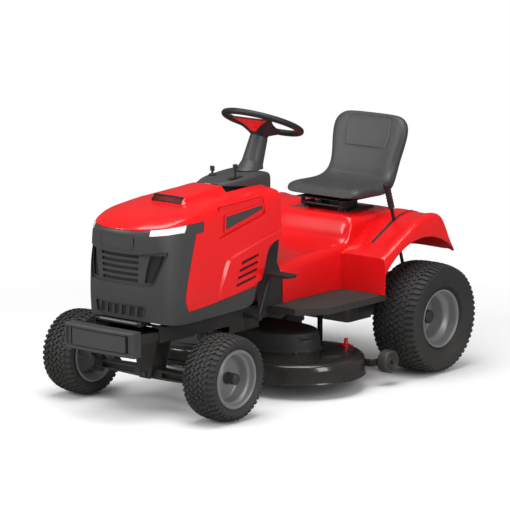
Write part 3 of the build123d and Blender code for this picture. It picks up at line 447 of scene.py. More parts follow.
red = joined(red, both_sides(joined(pan, *rim)))

panel = [side(364, 424), side(372, 470), side(416, 570), side(430, 584), side(446, 592), side(752, 660),
         side(752, 628), side(684, 612), side(672, 596), side(636, 482), side(626, 470), side(596, 463)]
PANEL_X, PANEL_TOP, CHAMFER = 0.2155, 0.2225, 15 * MM


def raised_panel():
    """Louvre panel standing proud of the hood's side, with a broad chamfer."""
    bm = prism_x(panel, PANEL_X - 2 * MM, PANEL_TOP)
    centre = Vector((0, sum(p[0] for p in panel) / len(panel), sum(p[1] for p in panel) / len(panel)))
    for v in bm.verts:
        if v.co.x > PANEL_X:
            on_edge = v.co.z < 0.60 and v.co.y > NOSE_Y + 0.58 or v.co.y > NOSE_Y + 0.74
            pull = centre - v.co
            pull.x = 0
            v.co += pull.normalized() * (3 * MM if on_edge else CHAMFER)
    return bm


louvres = raised_panel()
for i in range(4):
    d, z, run = 506 - 11.5 * i, 557 - 28.3 * i, 101 + 6.5 * i
    slot = [side(d, z - 6), side(d + run, z + 14), side(d + run + 3, z + 20), side(d + run, z + 26),
            side(d, z + 6), side(d - 3, z)]
    louvres = carve(louvres, prism_x(slot, PANEL_X - 1 * MM, 0.24))
red = joined(red, both_sides(louvres))
piece("hood_red", red, red_gloss, "hood", replaces=["hood_shell"])

# Black sheets just behind the louvre slots: painted shade, standing in for the dark inside of the hood seen
# through the slots.
louvre_shade_outline = [side(480, 462), side(640, 500), side(660, 600), side(500, 575)]
louvre_shade_sheets = both_sides(prism_x(louvre_shade_outline, PANEL_X - 0.6 * MM, PANEL_X + 0.2 * MM))
piece("hood_louvre_painted_shade", louvre_shade_sheets, black_matt, "hood")


def prism_y(points, y0, y1):
    """Closed slab from an (x, z) outline in mm, between two places along Y in metres."""
    bm = prism_x([(x * MM, z * MM) for x, z in points], y0, y1)
    for v in bm.verts:
        v.co = (v.co.y, v.co.x, v.co.z)
    return outward(bm)


def mirror_outline(half):
    """A symmetrical (x, z) outline from its half at positive x, given bottom to top."""
    return half + [(-x, z) for x, z in reversed(half)]


NOSE_REACH = (NOSE_Y - 0.03, NOSE_Y + 0.16)
nose_skin = part_of(hood_skin, 1, 0.9 * MM)
nose_front = nose_skin.copy()
rest = [f for f in nose_front.faces
        if f.calc_center_median().y > NOSE_Y + 0.165 or f.calc_center_median().z > 0.722]
bmesh.ops.delete(nose_front, geom=rest, context="FACES")


def tray(outline, inner, depth):
    """A recess that follows the nose: a floor at a depth, and walls out to the skin."""
    plug = carve(walled(nose_front.copy(), depth + 2.5 * MM), prism_y(outline, *NOSE_REACH), "INTERSECT")
    hollow = carve(walled(nose_front.copy(), depth), prism_y(inner, *NOSE_REACH), "INTERSECT")
    for v in hollow.verts:
        v.co.y -= 0.02 * MM
    return carve(plug, hollow)


grille = mirror_outline([(120, 519), (158, 521), (168, 530), (186, 590), (200, 650), (198, 659), (180, 659),
                         (100, 648)])
grille_in = mirror_outline([(119, 522), (156, 524), (165, 532), (183, 591), (196, 648), (195, 656),
                            (180, 656), (100, 645)])
lower = mirror_outline([(108, 389), (128, 398), (133, 440), (126, 447)])
lower_in = mirror_outline([(107, 391.5), (126, 400), (130.5, 438), (124, 444.5)])
grey = walled(nose_skin.copy(), SHELL)
grey = carve(grey, prism_y(grille, *NOSE_REACH))
grey = carve(grey, prism_y(lower, *NOSE_REACH))
nose_tree = BVHTree.FromBMesh(nose_front)


def on_nose(x, z, depth):
    """The place behind the nose's skin at (x, z), all in mm."""
    hit = nose_tree.ray_cast(Vector((x * MM, NOSE_Y - 0.2, z * MM)), Vector((0, 1, 0)))[0]
    y = hit.y if hit else NOSE_Y + 0.16
    return (x * MM, y + depth * MM, z * MM)


def mouth_rim(outer, inner, front, back):
    """A hollow ring between two outlines, from one depth behind the skin to another."""
    bm = bmesh.new()
    loops = []
    for line, depth in ((outer, front), (outer, back), (inner, back), (inner, front)):
        points = []
        for a, b in zip(line, line[1:] + line[:1]):
            steps = max(1, round(max(abs(b[0] - a[0]), abs(b[1] - a[1])) / 9))
            points += [(a[0] + (b[0] - a[0]) * k / steps,
                        a[1] + (b[1] - a[1]) * k / steps) for k in range(steps)]
        loops.append([bm.verts.new(on_nose(x, z, depth)) for x, z in points])
    count = min(len(loop) for loop in loops)
    for a, b in zip(loops, loops[1:] + loops[:1]):
        for k in range(count):
            bm.faces.new((a[k], a[(k + 1) % count], b[(k + 1) % count], b[k]))
    return outward(bm)


def reach(table, z):
    """Straight-line value at z in a (z, x) table."""
    for (z0, x0), (z1, x1) in zip(table, table[1:]):
        if z <= z1:
            return x0 + (x1 - x0) * max(0.0, (z - z0) / (z1 - z0))
    return table[-1][1]


EDGE = [(520, 160), (530, 166), (590, 184), (656, 197)]
DUCT_IN = [(534, 118), (590, 128), (640, 140)]
DUCT_OUT = [(534, 154), (588, 172), (640, 185)]
FLOOR_ROWS = [520, 535, 547, 558.5, 570.5, 582, 594, 605.5, 617.5, 629, 641, 656]


def mouth_floor(depth):
    """The recessed grille: five crosswise slots with an air duct at either end."""
    bm = bmesh.new()
    rows = []
    for z in FLOOR_ROWS:
        half = 90 + (z - 535) * 0.06
        knots = [-half + 2 * half * k / 12 for k in range(13)] + [reach(DUCT_IN, z), reach(DUCT_OUT, z),
                                                                  reach(EDGE, z)]
        knots = [-x for x in reversed(knots[13:])] + knots
        rows.append([bm.verts.new(on_nose(x, z, depth)) for x in knots])
    for k, (a, b) in enumerate(zip(rows, rows[1:])):
        for i in range(len(a) - 1):
            in_slot = 3 <= i < 15 and k % 2 == 1 and k < 10
            in_duct = i in (1, 16) and 1 <= k < 10
            if not in_slot and not in_duct:
                bm.faces.new((a[i], a[i + 1], b[i + 1], b[i]))
    bm.normal_update()
    if sum(f.normal.y for f in bm.faces) > 0:
        bmesh.ops.reverse_faces(bm, faces=bm.faces)
    return walled(bm, 2 * MM)


mouth = joined(mouth_rim(grille, grille_in, 0.8, 19), mouth_floor(13))
chin = tray(lower, lower_in, 9 * MM)
for i in range(6):
    x = -95 + 38 * i
    slant = [(x - 14, 398), (x + 8, 398), (x + 16, 437), (x - 6, 437)]
    chin = carve(chin, prism_y(slant, *NOSE_REACH))
plate = mirror_outline([(76, 661), (82, 664), (87, 712), (83, 718)])
plate_in = mirror_outline([(73, 665), (79, 668), (83, 709), (80, 713.5)])
badge = carve(walled(nose_front.copy(), 3 * MM, 1), prism_y(plate, *NOSE_REACH), "INTERSECT")
cut = carve(walled(nose_front.copy(), 5 * MM, 1), prism_y(plate_in, *NOSE_REACH), "INTERSECT")
for v in cut.verts:
    v.co.y -= 1.6 * MM
badge = carve(badge, cut)
grey = joined(grey, mouth, chin, badge)
piece("hood_nose", grey, grey_satin, "hood", replaces=["nose_fascia"])

# Black sheets a little behind the grille's and chin's slots: painted shade, standing in for the dark space
# behind the nose seen through the slots.
deep = carve(walled(nose_front.copy(), 21 * MM), walled(nose_front.copy(), 18.8 * MM))
grille_shade_sheets = carve(deep, prism_y(grille_in, *NOSE_REACH), "INTERSECT")
shallow = carve(walled(nose_front.copy(), 14 * MM), walled(nose_front.copy(), 12 * MM))
grille_shade_sheets = joined(grille_shade_sheets, carve(shallow, prism_y(lower_in, *NOSE_REACH), "INTERSECT"))
piece("hood_grille_painted_shade", grille_shade_sheets, black_matt, "hood")

lens_mat, _, _ = principled("lamp_lens", (0.93, 0.94, 0.95), 0.12, Coat_Weight=1.0, Coat_Roughness=0.03)
lens = walled(part_of(hood_skin, 2, 0.5 * MM), SHELL)
piece("hood_lamp_lenses", lens, lens_mat, "hood", replaces=["headlamp_lenses"])

# ---- tyres ----------------------------------------------------------------
# Turf tyres of black rubber, moulded with rows of S-shaped lugs over a round crown and
# longer blocks at the shoulders. Two beads seat each one on its rim.
rubber = finished("tyre_rubber", (0.021, 0.021, 0.022), 0.62, grain=700, depth=0.25, cloud=0.10, dust=0.14)


def rounded(points, radius, steps=3, closed=True):
    """A 2-D outline with each corner rounded off."""
    out, n = [], len(points)
    for i, p in enumerate(points):
        if not closed and i in (0, n - 1):
            out.append(tuple(p))
            continue
        p, a, b = Vector(p), Vector(points[i - 1]), Vector(points[(i + 1) % n])
        cut = min(radius, (a - p).length * 0.45, (b - p).length * 0.45)
        a, b = p + (a - p).normalized() * cut, p + (b - p).normalized() * cut
        for s in range(steps + 1):
            t = s / steps
            out.append(tuple(a * (1 - t) ** 2 + p * 2 * t * (1 - t) + b * t * t))
    return out


def turned_x(profile, centre, side_sign=1, steps=96):
    """A closed (radius, reach) outline in mm, turned about a line along X through a centre."""
    bm = bmesh.new()
    rings = []
    for i in range(steps):
        a = 2 * math.pi * i / steps
        rings.append([bm.verts.new((centre[0] + side_sign * x * MM, centre[1] + r * MM * math.sin(a),
                                    centre[2] + r * MM * math.cos(a))) for r, x in profile])
    for i in range(steps):
        here, there = rings[i], rings[(i + 1) % steps]
        for j in range(len(profile)):
            k = (j + 1) % len(profile)
            if profile[j][0] < 1e-6 and profile[k][0] < 1e-6:
                continue
            bm.faces.new((here[j], here[k], there[k], there[j]))
    bmesh.ops.remove_doubles(bm, verts=bm.verts, dist=1e-6)
    return outward(bm)


def repeat_group():
    """Geometry nodes: a shape set down again and again, each time moved and turned by one step."""
    tree = bpy.data.node_groups.new("repeat_shape", "GeometryNodeTree")
    for label, kind in (("Shape", "Geometry"), ("Count", "Int"), ("Step", "Vector"), ("Turn", "Vector"),
                        ("Material", "Material")):
        tree.interface.new_socket(label, in_out="INPUT", socket_type="NodeSocket" + kind)
    tree.interface.new_socket("Shape", in_out="OUTPUT", socket_type="NodeSocketGeometry")
    n, link = tree.nodes, tree.links.new
    gin, gout = n.new("NodeGroupInput"), n.new("NodeGroupOutput")
    index, points = n.new("GeometryNodeInputIndex"), n.new("GeometryNodePoints")
    place, real, paint = (n.new(kind) for kind in ("GeometryNodeInstanceOnPoints",
                                                   "GeometryNodeRealizeInstances",
                                                   "GeometryNodeSetMaterial"))
    scaled = []
    for label in ("Step", "Turn"):
        scale = n.new("ShaderNodeVectorMath")
        scale.operation = "SCALE"
        link(gin.outputs[label], scale.inputs[0])
        link(index.outputs[0], scale.inputs["Scale"])
        scaled.append(scale.outputs[0])
    link(gin.outputs["Count"], points.inputs["Count"])
    link(scaled[0], points.inputs["Position"])
    link(points.outputs[0], place.inputs["Points"])
    link(gin.outputs["Shape"], place.inputs["Instance"])
    link(scaled[1], place.inputs["Rotation"])
    link(place.outputs[0], real.inputs[0])
    link(real.outputs[0], paint.inputs[0])
    link(gin.outputs["Material"], paint.inputs["Material"])
    link(paint.outputs[0], gout.inputs[0])
    return tree


repeat_tree = repeat_group()


def repeated(bm, count, mat, step=(0, 0, 0), turn=(0, 0, 0)):
    """Copies of a shape along a line, round the origin, or both."""
    obj = scratch("unit", bm)
    mod = obj.modifiers.new("repeat", "NODES")
    mod.node_group = repeat_tree
    values = {"Count": count, "Step": step, "Turn": turn, "Material": mat}
    for socket in repeat_tree.interface.items_tree:
        if socket.in_out == "INPUT" and socket.name in values:
            mod[socket.identifier] = values[socket.name]
    bake(obj)
    out = bmesh.new()
    out.from_mesh(obj.data)
    bpy.data.objects.remove(obj)
    return out


def shifted(bm, offset):
    """Moves a shape by an offset in metres."""
    bmesh.ops.translate(bm, verts=bm.verts, vec=Vector(offset))
    return bm


LUG_RISE = 7.0
S_LUG = [(-10, -7), (-1, -10), (3, -2), (10, 0), (10, 7), (1, 10), (-3, 2), (-10, 0)]


def crown(tyre_r, half, x):
    """Radius of the tread's top at a reach from the middle."""
    return tyre_r - 15 * abs(x / half) ** 3


def lug(outline, tyre_r, half, depth=LUG_RISE + 1.5):
    """One tread block over its outline in (reach, arc) mm, with draughted sides."""
    bm = bmesh.new()
    mid = [sum(p[i] for p in outline) / len(outline) for i in (0, 1)]
    rings = []
    for rise, spread in ((-depth, 1.0), (-1.2, 0.93), (0, 0.84)):
        ring = []
        for x, s in outline:
            px, ps = mid[0] + (x - mid[0]) * spread, mid[1] + (s - mid[1]) * spread
            r, a = (crown(tyre_r, half, px) + rise) * MM, ps / tyre_r
            ring.append(bm.verts.new((px * MM, r * math.sin(a), r * math.cos(a))))
        rings.append(ring)
    for low, high in zip(rings, rings[1:]):
        for i in range(len(outline)):
            j = (i + 1) % len(outline)
            bm.faces.new((low[i], low[j], high[j], high[i]))
    bm.faces.new(rings[-1])
    bm.faces.new(list(reversed(rings[0])))
    return outward(bm)


def tread(tyre_r, half, columns, pitch):
    """All lugs of a tyre, round a line along X through the origin."""
    count = round(2 * math.pi * tyre_r / pitch)
    arc = 2 * math.pi * tyre_r / count
    units = []
    for i, x in enumerate(columns):
        flip = -1 if i % 2 else 1
        units.append(lug([(x + flip * u, v * 0.98 + (arc / 2 if i % 2 else 0)) for u, v in S_LUG], tyre_r,
                         half))
    for s in (-1, 1):
        a, b = 0.70 * half, 0.985 * half
        block = [(s * a, -9), (s * (a + 6), -11), (s * b, -8), (s * b, 6), (s * (a + 8), 5), (s * a, 1)]
        units.append(lug([(x, y + (arc / 4 if s > 0 else arc * 0.75)) for x, y in block], tyre_r, half, 12))
    return repeated(joined(*units), count, rubber, turn=(2 * math.pi / count, 0, 0))


def tyre(tyre_r, half, rim_r, bead, columns, pitch):
    """Carcass and tread round the origin, reach along X."""
    outer = [(rim_r - 4, bead - 6), (rim_r + 2, bead - 2), (rim_r + 6, bead), (rim_r + 9, bead + 2)]
    wall_r = rim_r + 0.42 * (tyre_r - rim_r)
    outer += [(rim_r + 14, bead + 0.55 * (half - bead)), (wall_r, half - 0.8), (wall_r + 6, half),
              (tyre_r - 27, half - 0.6)]
    outer += [(tyre_r - 25.5, half - 2.4), (tyre_r - 20, half - 5)]
    steps = 9
    top = [(crown(tyre_r, half, half * 0.9 * k / steps) - LUG_RISE,
            half * 0.9 * k / steps) for k in range(steps, -steps - 1, -1)]
    outline = outer + top + [(r, -x) for r, x in reversed(outer)]
    inner = [(rim_r - 4, bead - 16), (wall_r, half - 12), (tyre_r - 26, half - 14), (tyre_r - 20, 0)]
    inner += [(r, -x) for r, x in reversed(inner[:3])]
    body = turned_x(outline + list(reversed(inner)), (0, 0, 0), steps=128)
    return joined(body, tread(tyre_r, half, columns, pitch))


front_hub = (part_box("front_tyre_left")[0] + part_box("front_tyre_left")[1]) / 2
rear_hub = (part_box("rear_tyre_left")[0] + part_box("rear_tyre_left")[1]) / 2
FRONT = {"tyre_r": 169.5, "half": 77.5, "rim_r": 112, "bead": 65, "columns": [-44, -22, 0, 22, 44],
         "pitch": 25}
REAR = {"tyre_r": 228, "half": 107.5, "rim_r": 120, "bead": 84, "columns": [-69, -46, -23, 0, 23, 46, 69],
        "pitch": 26}
SIDES = (("left", 1), ("right", -1))
for side_name, s in SIDES:
    for end, hub, size in (("front", front_hub, FRONT), ("rear", rear_hub, REAR)):
        mesh = shifted(tyre(**size), (s * hub.x, hub.y, hub.z))
        piece(f"{end}_turf_tyre_{side_name}", mesh, rubber, f"{end}_wheel_{side_name}", 30,
              [f"{end}_tyre_{side_name}"])

# ---- rims -----------------------------------------------------------------
# Pressed steel rims in silver-grey enamel: rolled flanges, stepped wells and a dished
# disc welded to the hub tube. A black cap closes the bore and hides the axle's end.
rim_paint = finished("rim_enamel", (0.27, 0.27, 0.28), 0.34, grain=1200, depth=0.06, cloud=0.08, dust=0.15,
                     Metallic=0.35)
cap_black = finished("cap_plastic", (0.020, 0.020, 0.021), 0.42, grain=900, depth=0.1, cloud=0.08, dust=0.2)
FRONT_FACE = [(113, 67), (112.5, 70), (108, 71.5), (105, 69), (103, 62), (102, 50), (98, 45), (93.5, 43),
              (91, 38), (89, 10), (86, 2), (80, -2), (60, 4), (42, 10), (34, 15), (22, 16)]
FRONT_BACK = [(22, 11), (34, 10), (42, 5), (60, -1), (80, -7), (88, -8), (89, -34), (95, -43), (102, -47),
              (104, -64), (108, -69), (113, -67)]
REAR_FACE = [(121, 85), (120.5, 88), (116, 89), (112.5, 86), (110.5, 78), (109.5, 50), (106, 44), (91, 34),
             (88, 28), (86, -18), (83, -26), (76, -29), (52, -25), (36, -20), (22, -20)]
REAR_BACK = [(22, -25), (36, -25), (52, -30), (76, -34), (86, -34), (88, -40), (104, -56), (111, -62),
             (113, -82), (117, -88), (121, -85)]


def rim_outline(face, back):
    """Closed outline of a rim, from its visible face, its back and the tyre's side."""
    tyre_side = [(r + 3.5, x) for r, x in reversed(back) if r > face[0][0] - 34 and -80 < x < -34]
    tyre_side += [(r + 3.5, x - 3) for r, x in reversed(face) if r > face[0][0] - 34 and 20 < x < 80]
    return rounded(face + back + tyre_side, 2.2, 2)


def hex_nut(across, x0, x1):
    """Six-sided nut with chamfered corners, on the X axis, in mm."""
    bm = bmesh.new()
    r = across / math.sqrt(3)
    rings = []
    for x, scale in ((x0, 1), (x1 - 1.2, 1), (x1, 0.9)):
        rings.append([bm.verts.new((x * MM, r * scale * MM * math.sin(math.pi * k / 3),
                                    r * scale * MM * math.cos(math.pi * k / 3))) for k in range(6)])
    for a, b in zip(rings, rings[1:]):
        for k in range(6):
            bm.faces.new((a[k], a[(k + 1) % 6], b[(k + 1) % 6], b[k]))
    bm.faces.new(rings[-1])
    bm.faces.new(rings[0])
    return outward(bm)


CAP = [(0, 68), (17, 68), (20.5, 66.5), (22, 63.5), (22.6, 24), (24.5, 23), (24.5, 20), (15.5, 20),
       (15.5, 60), (0, 60)]
for side_name, s in SIDES:
    hub = (s * front_hub.x, front_hub.y, front_hub.z)
    tube = turned_x([(9.6, -55), (21, -55), (21, 22), (9.6, 22)], hub, s, 48)
    front_rim = joined(turned_x(rim_outline(FRONT_FACE, FRONT_BACK), hub, s, 96), tube)
    piece(f"front_pressed_rim_{side_name}", front_rim, rim_paint, f"front_wheel_{side_name}", 40,
          [f"front_rim_{side_name}"])
    cap = turned_x(rounded(CAP, 0.8, 2), hub, s, 48)
    piece(f"front_hub_cap_{side_name}", cap, cap_black, f"front_wheel_{side_name}", 40)
    hub = (s * rear_hub.x, rear_hub.y, rear_hub.z)
    tube = turned_x([(12.6, -70), (24, -70), (24, 30), (12.6, 30)], hub, s, 48)
    shaft = turned_x([(0, -375), (12.4, -375), (12.4, 26), (0, 26)], hub, s, 48)
    rear_rim = joined(turned_x(rim_outline(REAR_FACE, REAR_BACK), hub, s, 96), tube, shaft)
    piece(f"rear_pressed_rim_{side_name}", rear_rim, rim_paint, f"rear_wheel_{side_name}", 40,
          [f"rear_rim_{side_name}"])
    cap = turned_x(rounded([(0, 33), (24, 33), (28, 30), (28, 12), (24.5, 12), (24.5, 30), (0, 30)], 1, 2),
                   hub, s, 48)
    piece(f"rear_hub_cap_{side_name}", cap, cap_black, f"rear_wheel_{side_name}", 40)

# ---- vent and side trims of the hood --------------------------------------
# A black slatted grille snapped into the step of the hood's roof, and a satin grey plate
# with a raised red surround in each side recess.
trim_black = finished("trim_plastic", (0.016, 0.016, 0.017), 0.38, grain=900, depth=0.06, cloud=0.06,
                      dust=0.06)


def rod_mesh(start, end, radius, sides=16):
    """A capped round bar between two points, in metres."""
    bm = bmesh.new()
    start, end = Vector(start), Vector(end)
    turn = (end - start).to_track_quat("Z", "Y").to_matrix().to_4x4()
    place = Matrix.Translation((start + end) / 2) @ turn
    bmesh.ops.create_cone(bm, cap_ends=True, segments=sides, radius1=radius, radius2=radius,
                          depth=(end - start).length, matrix=place)
    return bm


def plate_box(centre, size, turn=None):
    """A box with small bevels, turned by a matrix if one is given."""
    bm = bmesh.new()
    place = Matrix.Translation(centre) @ (turn if turn else Matrix.Identity(4)) @ Matrix.Diagonal((*size, 1))
    bmesh.ops.create_cube(bm, size=1, matrix=place)
    bmesh.ops.bevel(bm, geom=bm.edges[:], offset=min(size) * 0.22, segments=2, affect="EDGES", profile=0.5)
    return bm


step_y, step_z = NOSE_Y + 318 * MM, 0.8155
lean = Matrix.Rotation(math.radians(-52), 4, "X")
frame_bars = [plate_box((0, step_y - 9 * MM, step_z - 11 * MM), (0.150, 0.006, 0.005), lean),
              plate_box((0, step_y + 6.5 * MM, step_z + 10.5 * MM), (0.150, 0.006, 0.005), lean)]
for s in (-1, 1):
    frame_bars.append(plate_box((s * 73 * MM, step_y - 1 * MM, step_z), (0.006, 0.005, 0.026), lean))
slat = plate_box((0, 0, 0), (0.142, 0.009, 0.0022), Matrix.Rotation(math.radians(-15), 4, "X"))
slats = shifted(repeated(slat, 4, trim_black, step=(0, 3.4 * MM, 4.6 * MM)),
                (0, step_y - 6 * MM, step_z - 7 * MM))
back = plate_box((0, step_y + 3 * MM, step_z - 3 * MM), (0.146, 0.002, 0.026), lean)
piece("hood_vent_grille", joined(*frame_bars, slats, back), trim_black, "hood",
      replaces=["hood_trims"])

outer = [side(414, 690), side(416, 759), side(652, 778), side(656, 755), side(648, 748)]
inner = [side(422, 700), side(423.5, 752), side(645, 770), side(648, 757), side(641, 752)]
surround = carve(prism_x(outer, floor_x, floor_x + 5 * MM), prism_x(inner, floor_x - 1 * MM, floor_x + 9 * MM))
piece("hood_trim_surrounds", both_sides(surround), red_gloss, "hood")
plates = prism_x(inner, floor_x - 0.2 * MM, floor_x + 2.5 * MM)
piece("hood_trim_plates", both_sides(plates), grey_satin, "hood")

# ---- rear body ------------------------------------------------------------
# One glossy red moulding: the tunnel between the feet, the seat platform and both rear
# fenders. It is bolted to the frame rails through the footboards.
AXLE_Y = rear_hub.y
ARCH_R = 330 * MM
FENDER_FOOT = 353
# The tunnel's middle line from its foot rearwards, as (y behind the rear axle, z) in mm.
TUNNEL = [(-592, 335), (-592, 400), (-628, 457), (-648, 502), (-600, 512), (-480, 520), (-352, 530),
          (-262, 536), (-222, 545), (-202, 590), (-184, 632), (-168, 640), (-60, 641), (60, 641),
          (110, 640), (118, 620), (121, 480)]


def body_row(x, drop=0):
    """The tunnel's line moved outwards, with its upper part lowered."""
    return [(x, y, z - drop if z > 460 else z) for y, z in TUNNEL]


# The fender: stations along the machine as (y behind the axle, height of the crown).
FENDER_STATIONS = [(-258, 505), (-250, 511), (-215, 528), (-160, 560), (-100, 590), (-40, 622), (10, 640),
                   (60, 646), (104, 646), (134, 632), (168, 566), (198, 500), (208, 480)]


def wall_foot(dy):
    """Height at which the tunnel's side wall ends: the footboard, or under the fender."""
    if dy < -210:
        return FENDER_FOOT
    return float(np.interp(dy, [y for y, _ in FENDER_STATIONS], [z for _, z in FENDER_STATIONS])) - 30


def rear_vert(bm, x, dy, z):
    """A vertex at (x, y behind the rear axle, z) in mm."""
    return bm.verts.new((x * MM, AXLE_Y + dy * MM, z * MM))


def skin_of(bm, rows, flip=False):
    """Quads between rows of vertices."""
    for a, b in zip(rows, rows[1:]):
        for i in range(len(a) - 1):
            bm.faces.new((a[i], b[i], b[i + 1], a[i + 1]) if flip else (a[i], a[i + 1], b[i + 1], b[i]))


def facing_up(bm):
    """Turns an open skin's faces to its upper side."""
    bmesh.ops.recalc_face_normals(bm, faces=bm.faces)
    if sum(f.normal.z * f.calc_area() for f in bm.faces) < 0:
        bmesh.ops.reverse_faces(bm, faces=bm.faces)
    return bm


def tunnel_cage():
    """Half cage of the tunnel and seat platform, from the middle out and down its side wall."""
    bm = bmesh.new()
    layer = bm.edges.layers.float.new("crease_edge")
    rows = []
    for x, drop in ((0, 0), (70, 0), (140, 0), (176, 2), (191, 14)):
        rows.append([rear_vert(bm, *p) for p in body_row(x, drop)])
    for x, share in ((198, 0.15), (200, 0.45), (200, 1.0)):
        rows.append([rear_vert(bm, x, dy, z + (min(wall_foot(dy), z - 20) - z) * share) for _, dy,
                     z in body_row(191, 14)])
    skin_of(bm, rows)
    for k, value in ((3, 0.35), (7, 0.4), (9, 0.3), (11, 0.6), (14, 0.6)):
        for a, b in zip(rows[:5], rows[1:5]):
            bm.edges.get((a[k], b[k]))[layer] = value
    return facing_up(mirrored(bm))


tunnel = walled(subdivided(tunnel_cage(), 3), SHELL, even=False)


def arch_height(dy):
    """Height of the wheel arch's edge above the floor, in mm."""
    return rear_hub.z / MM + math.sqrt(max((ARCH_R / MM) ** 2 - dy ** 2, 0))


def fender_cage():
    """The left fender: a row of points across it at each station, then its front wall."""
    bm = bmesh.new()
    layer = bm.edges.layers.float.new("crease_edge")
    rows = []
    for k, (dy, top) in enumerate(FENDER_STATIONS):
        dip = 10 if 2 < k < 10 else 3
        low = min(arch_height(dy), top - 8)
        row = [(186, top - 8), (204, top - 5), (232, top - 1), (300, top - dip / 2), (356, top - dip),
               (386, top - 3), (408, top - 1), (424, top - 10), (430, top - min(34, (top - low) * 0.5)),
               (430, low), (426, low - 1), (418, low)]
        rows.append([rear_vert(bm, x, dy, z) for x, z in row])
    skin_of(bm, rows, flip=True)
    front = rows[0]
    foot = [rear_vert(bm, v.co.x / MM, -260, FENDER_FOOT) for v in front[:9]]
    for i in range(8):
        bm.faces.new((front[i], front[i + 1], foot[i + 1], foot[i]))
    bm.faces.new((front[8], front[9], foot[8]))
    for i in range(9):
        bm.edges.get((front[i], front[i + 1]))[layer] = 0.5
    for a, b in zip(rows, rows[1:]):
        for i, value in ((5, 0.25), (7, 0.3), (9, 0.9)):
            bm.edges.get((a[i], b[i]))[layer] = value
    return facing_up(bm)


fender = walled(subdivided(fender_cage(), 3), SHELL, even=False)
rear_body = joined(tunnel, both_sides(fender))
rear_piece = piece("rear_body_moulding", rear_body, red_gloss, "chassis", 50, ["fender_body"])


def lay_on(target, points, lift):
    """Drops points straight down on a piece, in metres, and lifts them a little."""
    out = []
    for x, y in points:
        hit, place, _, _ = target.ray_cast(Vector((x, y, 0.80)), Vector((0, 0, -1)))
        out.append(Vector((x, y, (place.z if hit else 0.6) + lift)))
    return out


def ribbon(target, line, width, height, lift=0.0):
    """A raised or flat strip following a line of (x, y) points over a piece."""
    bm = bmesh.new()
    rings = []
    for i, (x, y) in enumerate(line):
        a, b = line[max(i - 1, 0)], line[min(i + 1, len(line) - 1)]
        across = Vector((b[1] - a[1], a[0] - b[0])).normalized() * width / 2
        ends = lay_on(target, [(x - across.x, y - across.y), (x + across.x, y + across.y)], lift)
        rings.append([bm.verts.new(v) for v in (ends[0] - Vector((0, 0, 0.002)),
                                                ends[0] + Vector((0, 0, height * 0.7)),
                                                (ends[0] + ends[1]) / 2 + Vector((0, 0, height)),
                                                ends[1] + Vector((0, 0, height * 0.7)),
                                                ends[1] - Vector((0, 0, 0.002)))])
    for a, b in zip(rings, rings[1:]):
        for i in range(5):
            bm.faces.new((a[i], a[(i + 1) % 5], b[(i + 1) % 5], b[i]))
    bm.faces.new(rings[0])
    bm.faces.new(rings[-1])
    return outward(bm)


gate_line = [(0.300, AXLE_Y + y * MM) for y in range(-180, 111, 10)]
piece("lift_lever_gate", ribbon(rear_piece, gate_line, 0.016, 0.0008), black_matt, "chassis",
      40)
gate_rim = joined(ribbon(rear_piece, [(0.310, y) for _, y in gate_line], 0.005, 0.003),
                  ribbon(rear_piece, [(0.290, y) for _, y in gate_line], 0.005, 0.003))
piece("lift_lever_gate_rim", gate_rim, red_gloss, "chassis", 60)

# ---- seat -----------------------------------------------------------------
# A moulded foam bucket seat under a skin of dark grey vinyl: a thick rounded base with a
# rolled front lip, a waisted back with a raised panel, and piped seams. It is bolted to its pan.
vinyl, vinyl_tree, vinyl_shader = principled("seat_vinyl", (0.045, 0.045, 0.047), 0.45)


def leather_group():
    """Shared vinyl grain: small cells with soft edges, and larger creases."""
    g = bpy.data.node_groups.new("vinyl_grain", "ShaderNodeTree")
    for label, value in (("Cell Scale", 420.0), ("Depth", 0.35), ("Crease", 0.3)):
        sock = g.interface.new_socket(label, in_out="INPUT", socket_type="NodeSocketFloat")
        sock.default_value = value
    g.interface.new_socket("Normal", in_out="OUTPUT", socket_type="NodeSocketVector")
    g.interface.new_socket("Mask", in_out="OUTPUT", socket_type="NodeSocketFloat")
    n, link = g.nodes, g.links.new
    gin, gout, where = n.new("NodeGroupInput"), n.new("NodeGroupOutput"), n.new("ShaderNodeTexCoord")
    cells, crease, mix, bump = (n.new(k) for k in ("ShaderNodeTexVoronoi", "ShaderNodeTexNoise",
                                                   "ShaderNodeMath", "ShaderNodeBump"))
    cells.feature = "F1"
    crease.inputs["Scale"].default_value = 38
    crease.inputs["Detail"].default_value = 6
    for node in (cells, crease):
        link(where.outputs["Object"], node.inputs["Vector"])
    link(gin.outputs["Cell Scale"], cells.inputs["Scale"])
    mix.operation = "MULTIPLY_ADD"
    link(crease.outputs["Fac"], mix.inputs[0])
    link(gin.outputs["Crease"], mix.inputs[1])
    link(cells.outputs["Distance"], mix.inputs[2])
    link(mix.outputs[0], bump.inputs["Height"])
    link(gin.outputs["Depth"], bump.inputs["Strength"])
    bump.inputs["Distance"].default_value = 0.0008
    link(bump.outputs["Normal"], gout.inputs["Normal"])
    link(crease.outputs["Fac"], gout.inputs["Mask"])
    return g


grain_node = vinyl_tree.nodes.new("ShaderNodeGroup")
grain_node.node_tree = leather_group()
tone, sheen_range = vinyl_tree.nodes.new("ShaderNodeMix"), vinyl_tree.nodes.new("ShaderNodeMapRange")
tone.data_type = "RGBA"
tone.inputs[6].default_value, tone.inputs[7].default_value = (0.036, 0.036, 0.038, 1), (0.058, 0.058, 0.060, 1)
sheen_range.inputs["To Min"].default_value, sheen_range.inputs["To Max"].default_value = 0.38, 0.55
vinyl_tree.links.new(grain_node.outputs["Mask"], tone.inputs[0])
vinyl_tree.links.new(grain_node.outputs["Mask"], sheen_range.inputs["Value"])
vinyl_tree.links.new(tone.outputs[2], vinyl_shader.inputs["Base Color"])
vinyl_tree.links.new(sheen_range.outputs["Result"], vinyl_shader.inputs["Roughness"])
vinyl_tree.links.new(grain_node.outputs["Normal"], vinyl_shader.inputs["Normal"])

SEAT_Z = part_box("seat_cover")[0].z + 8 * MM
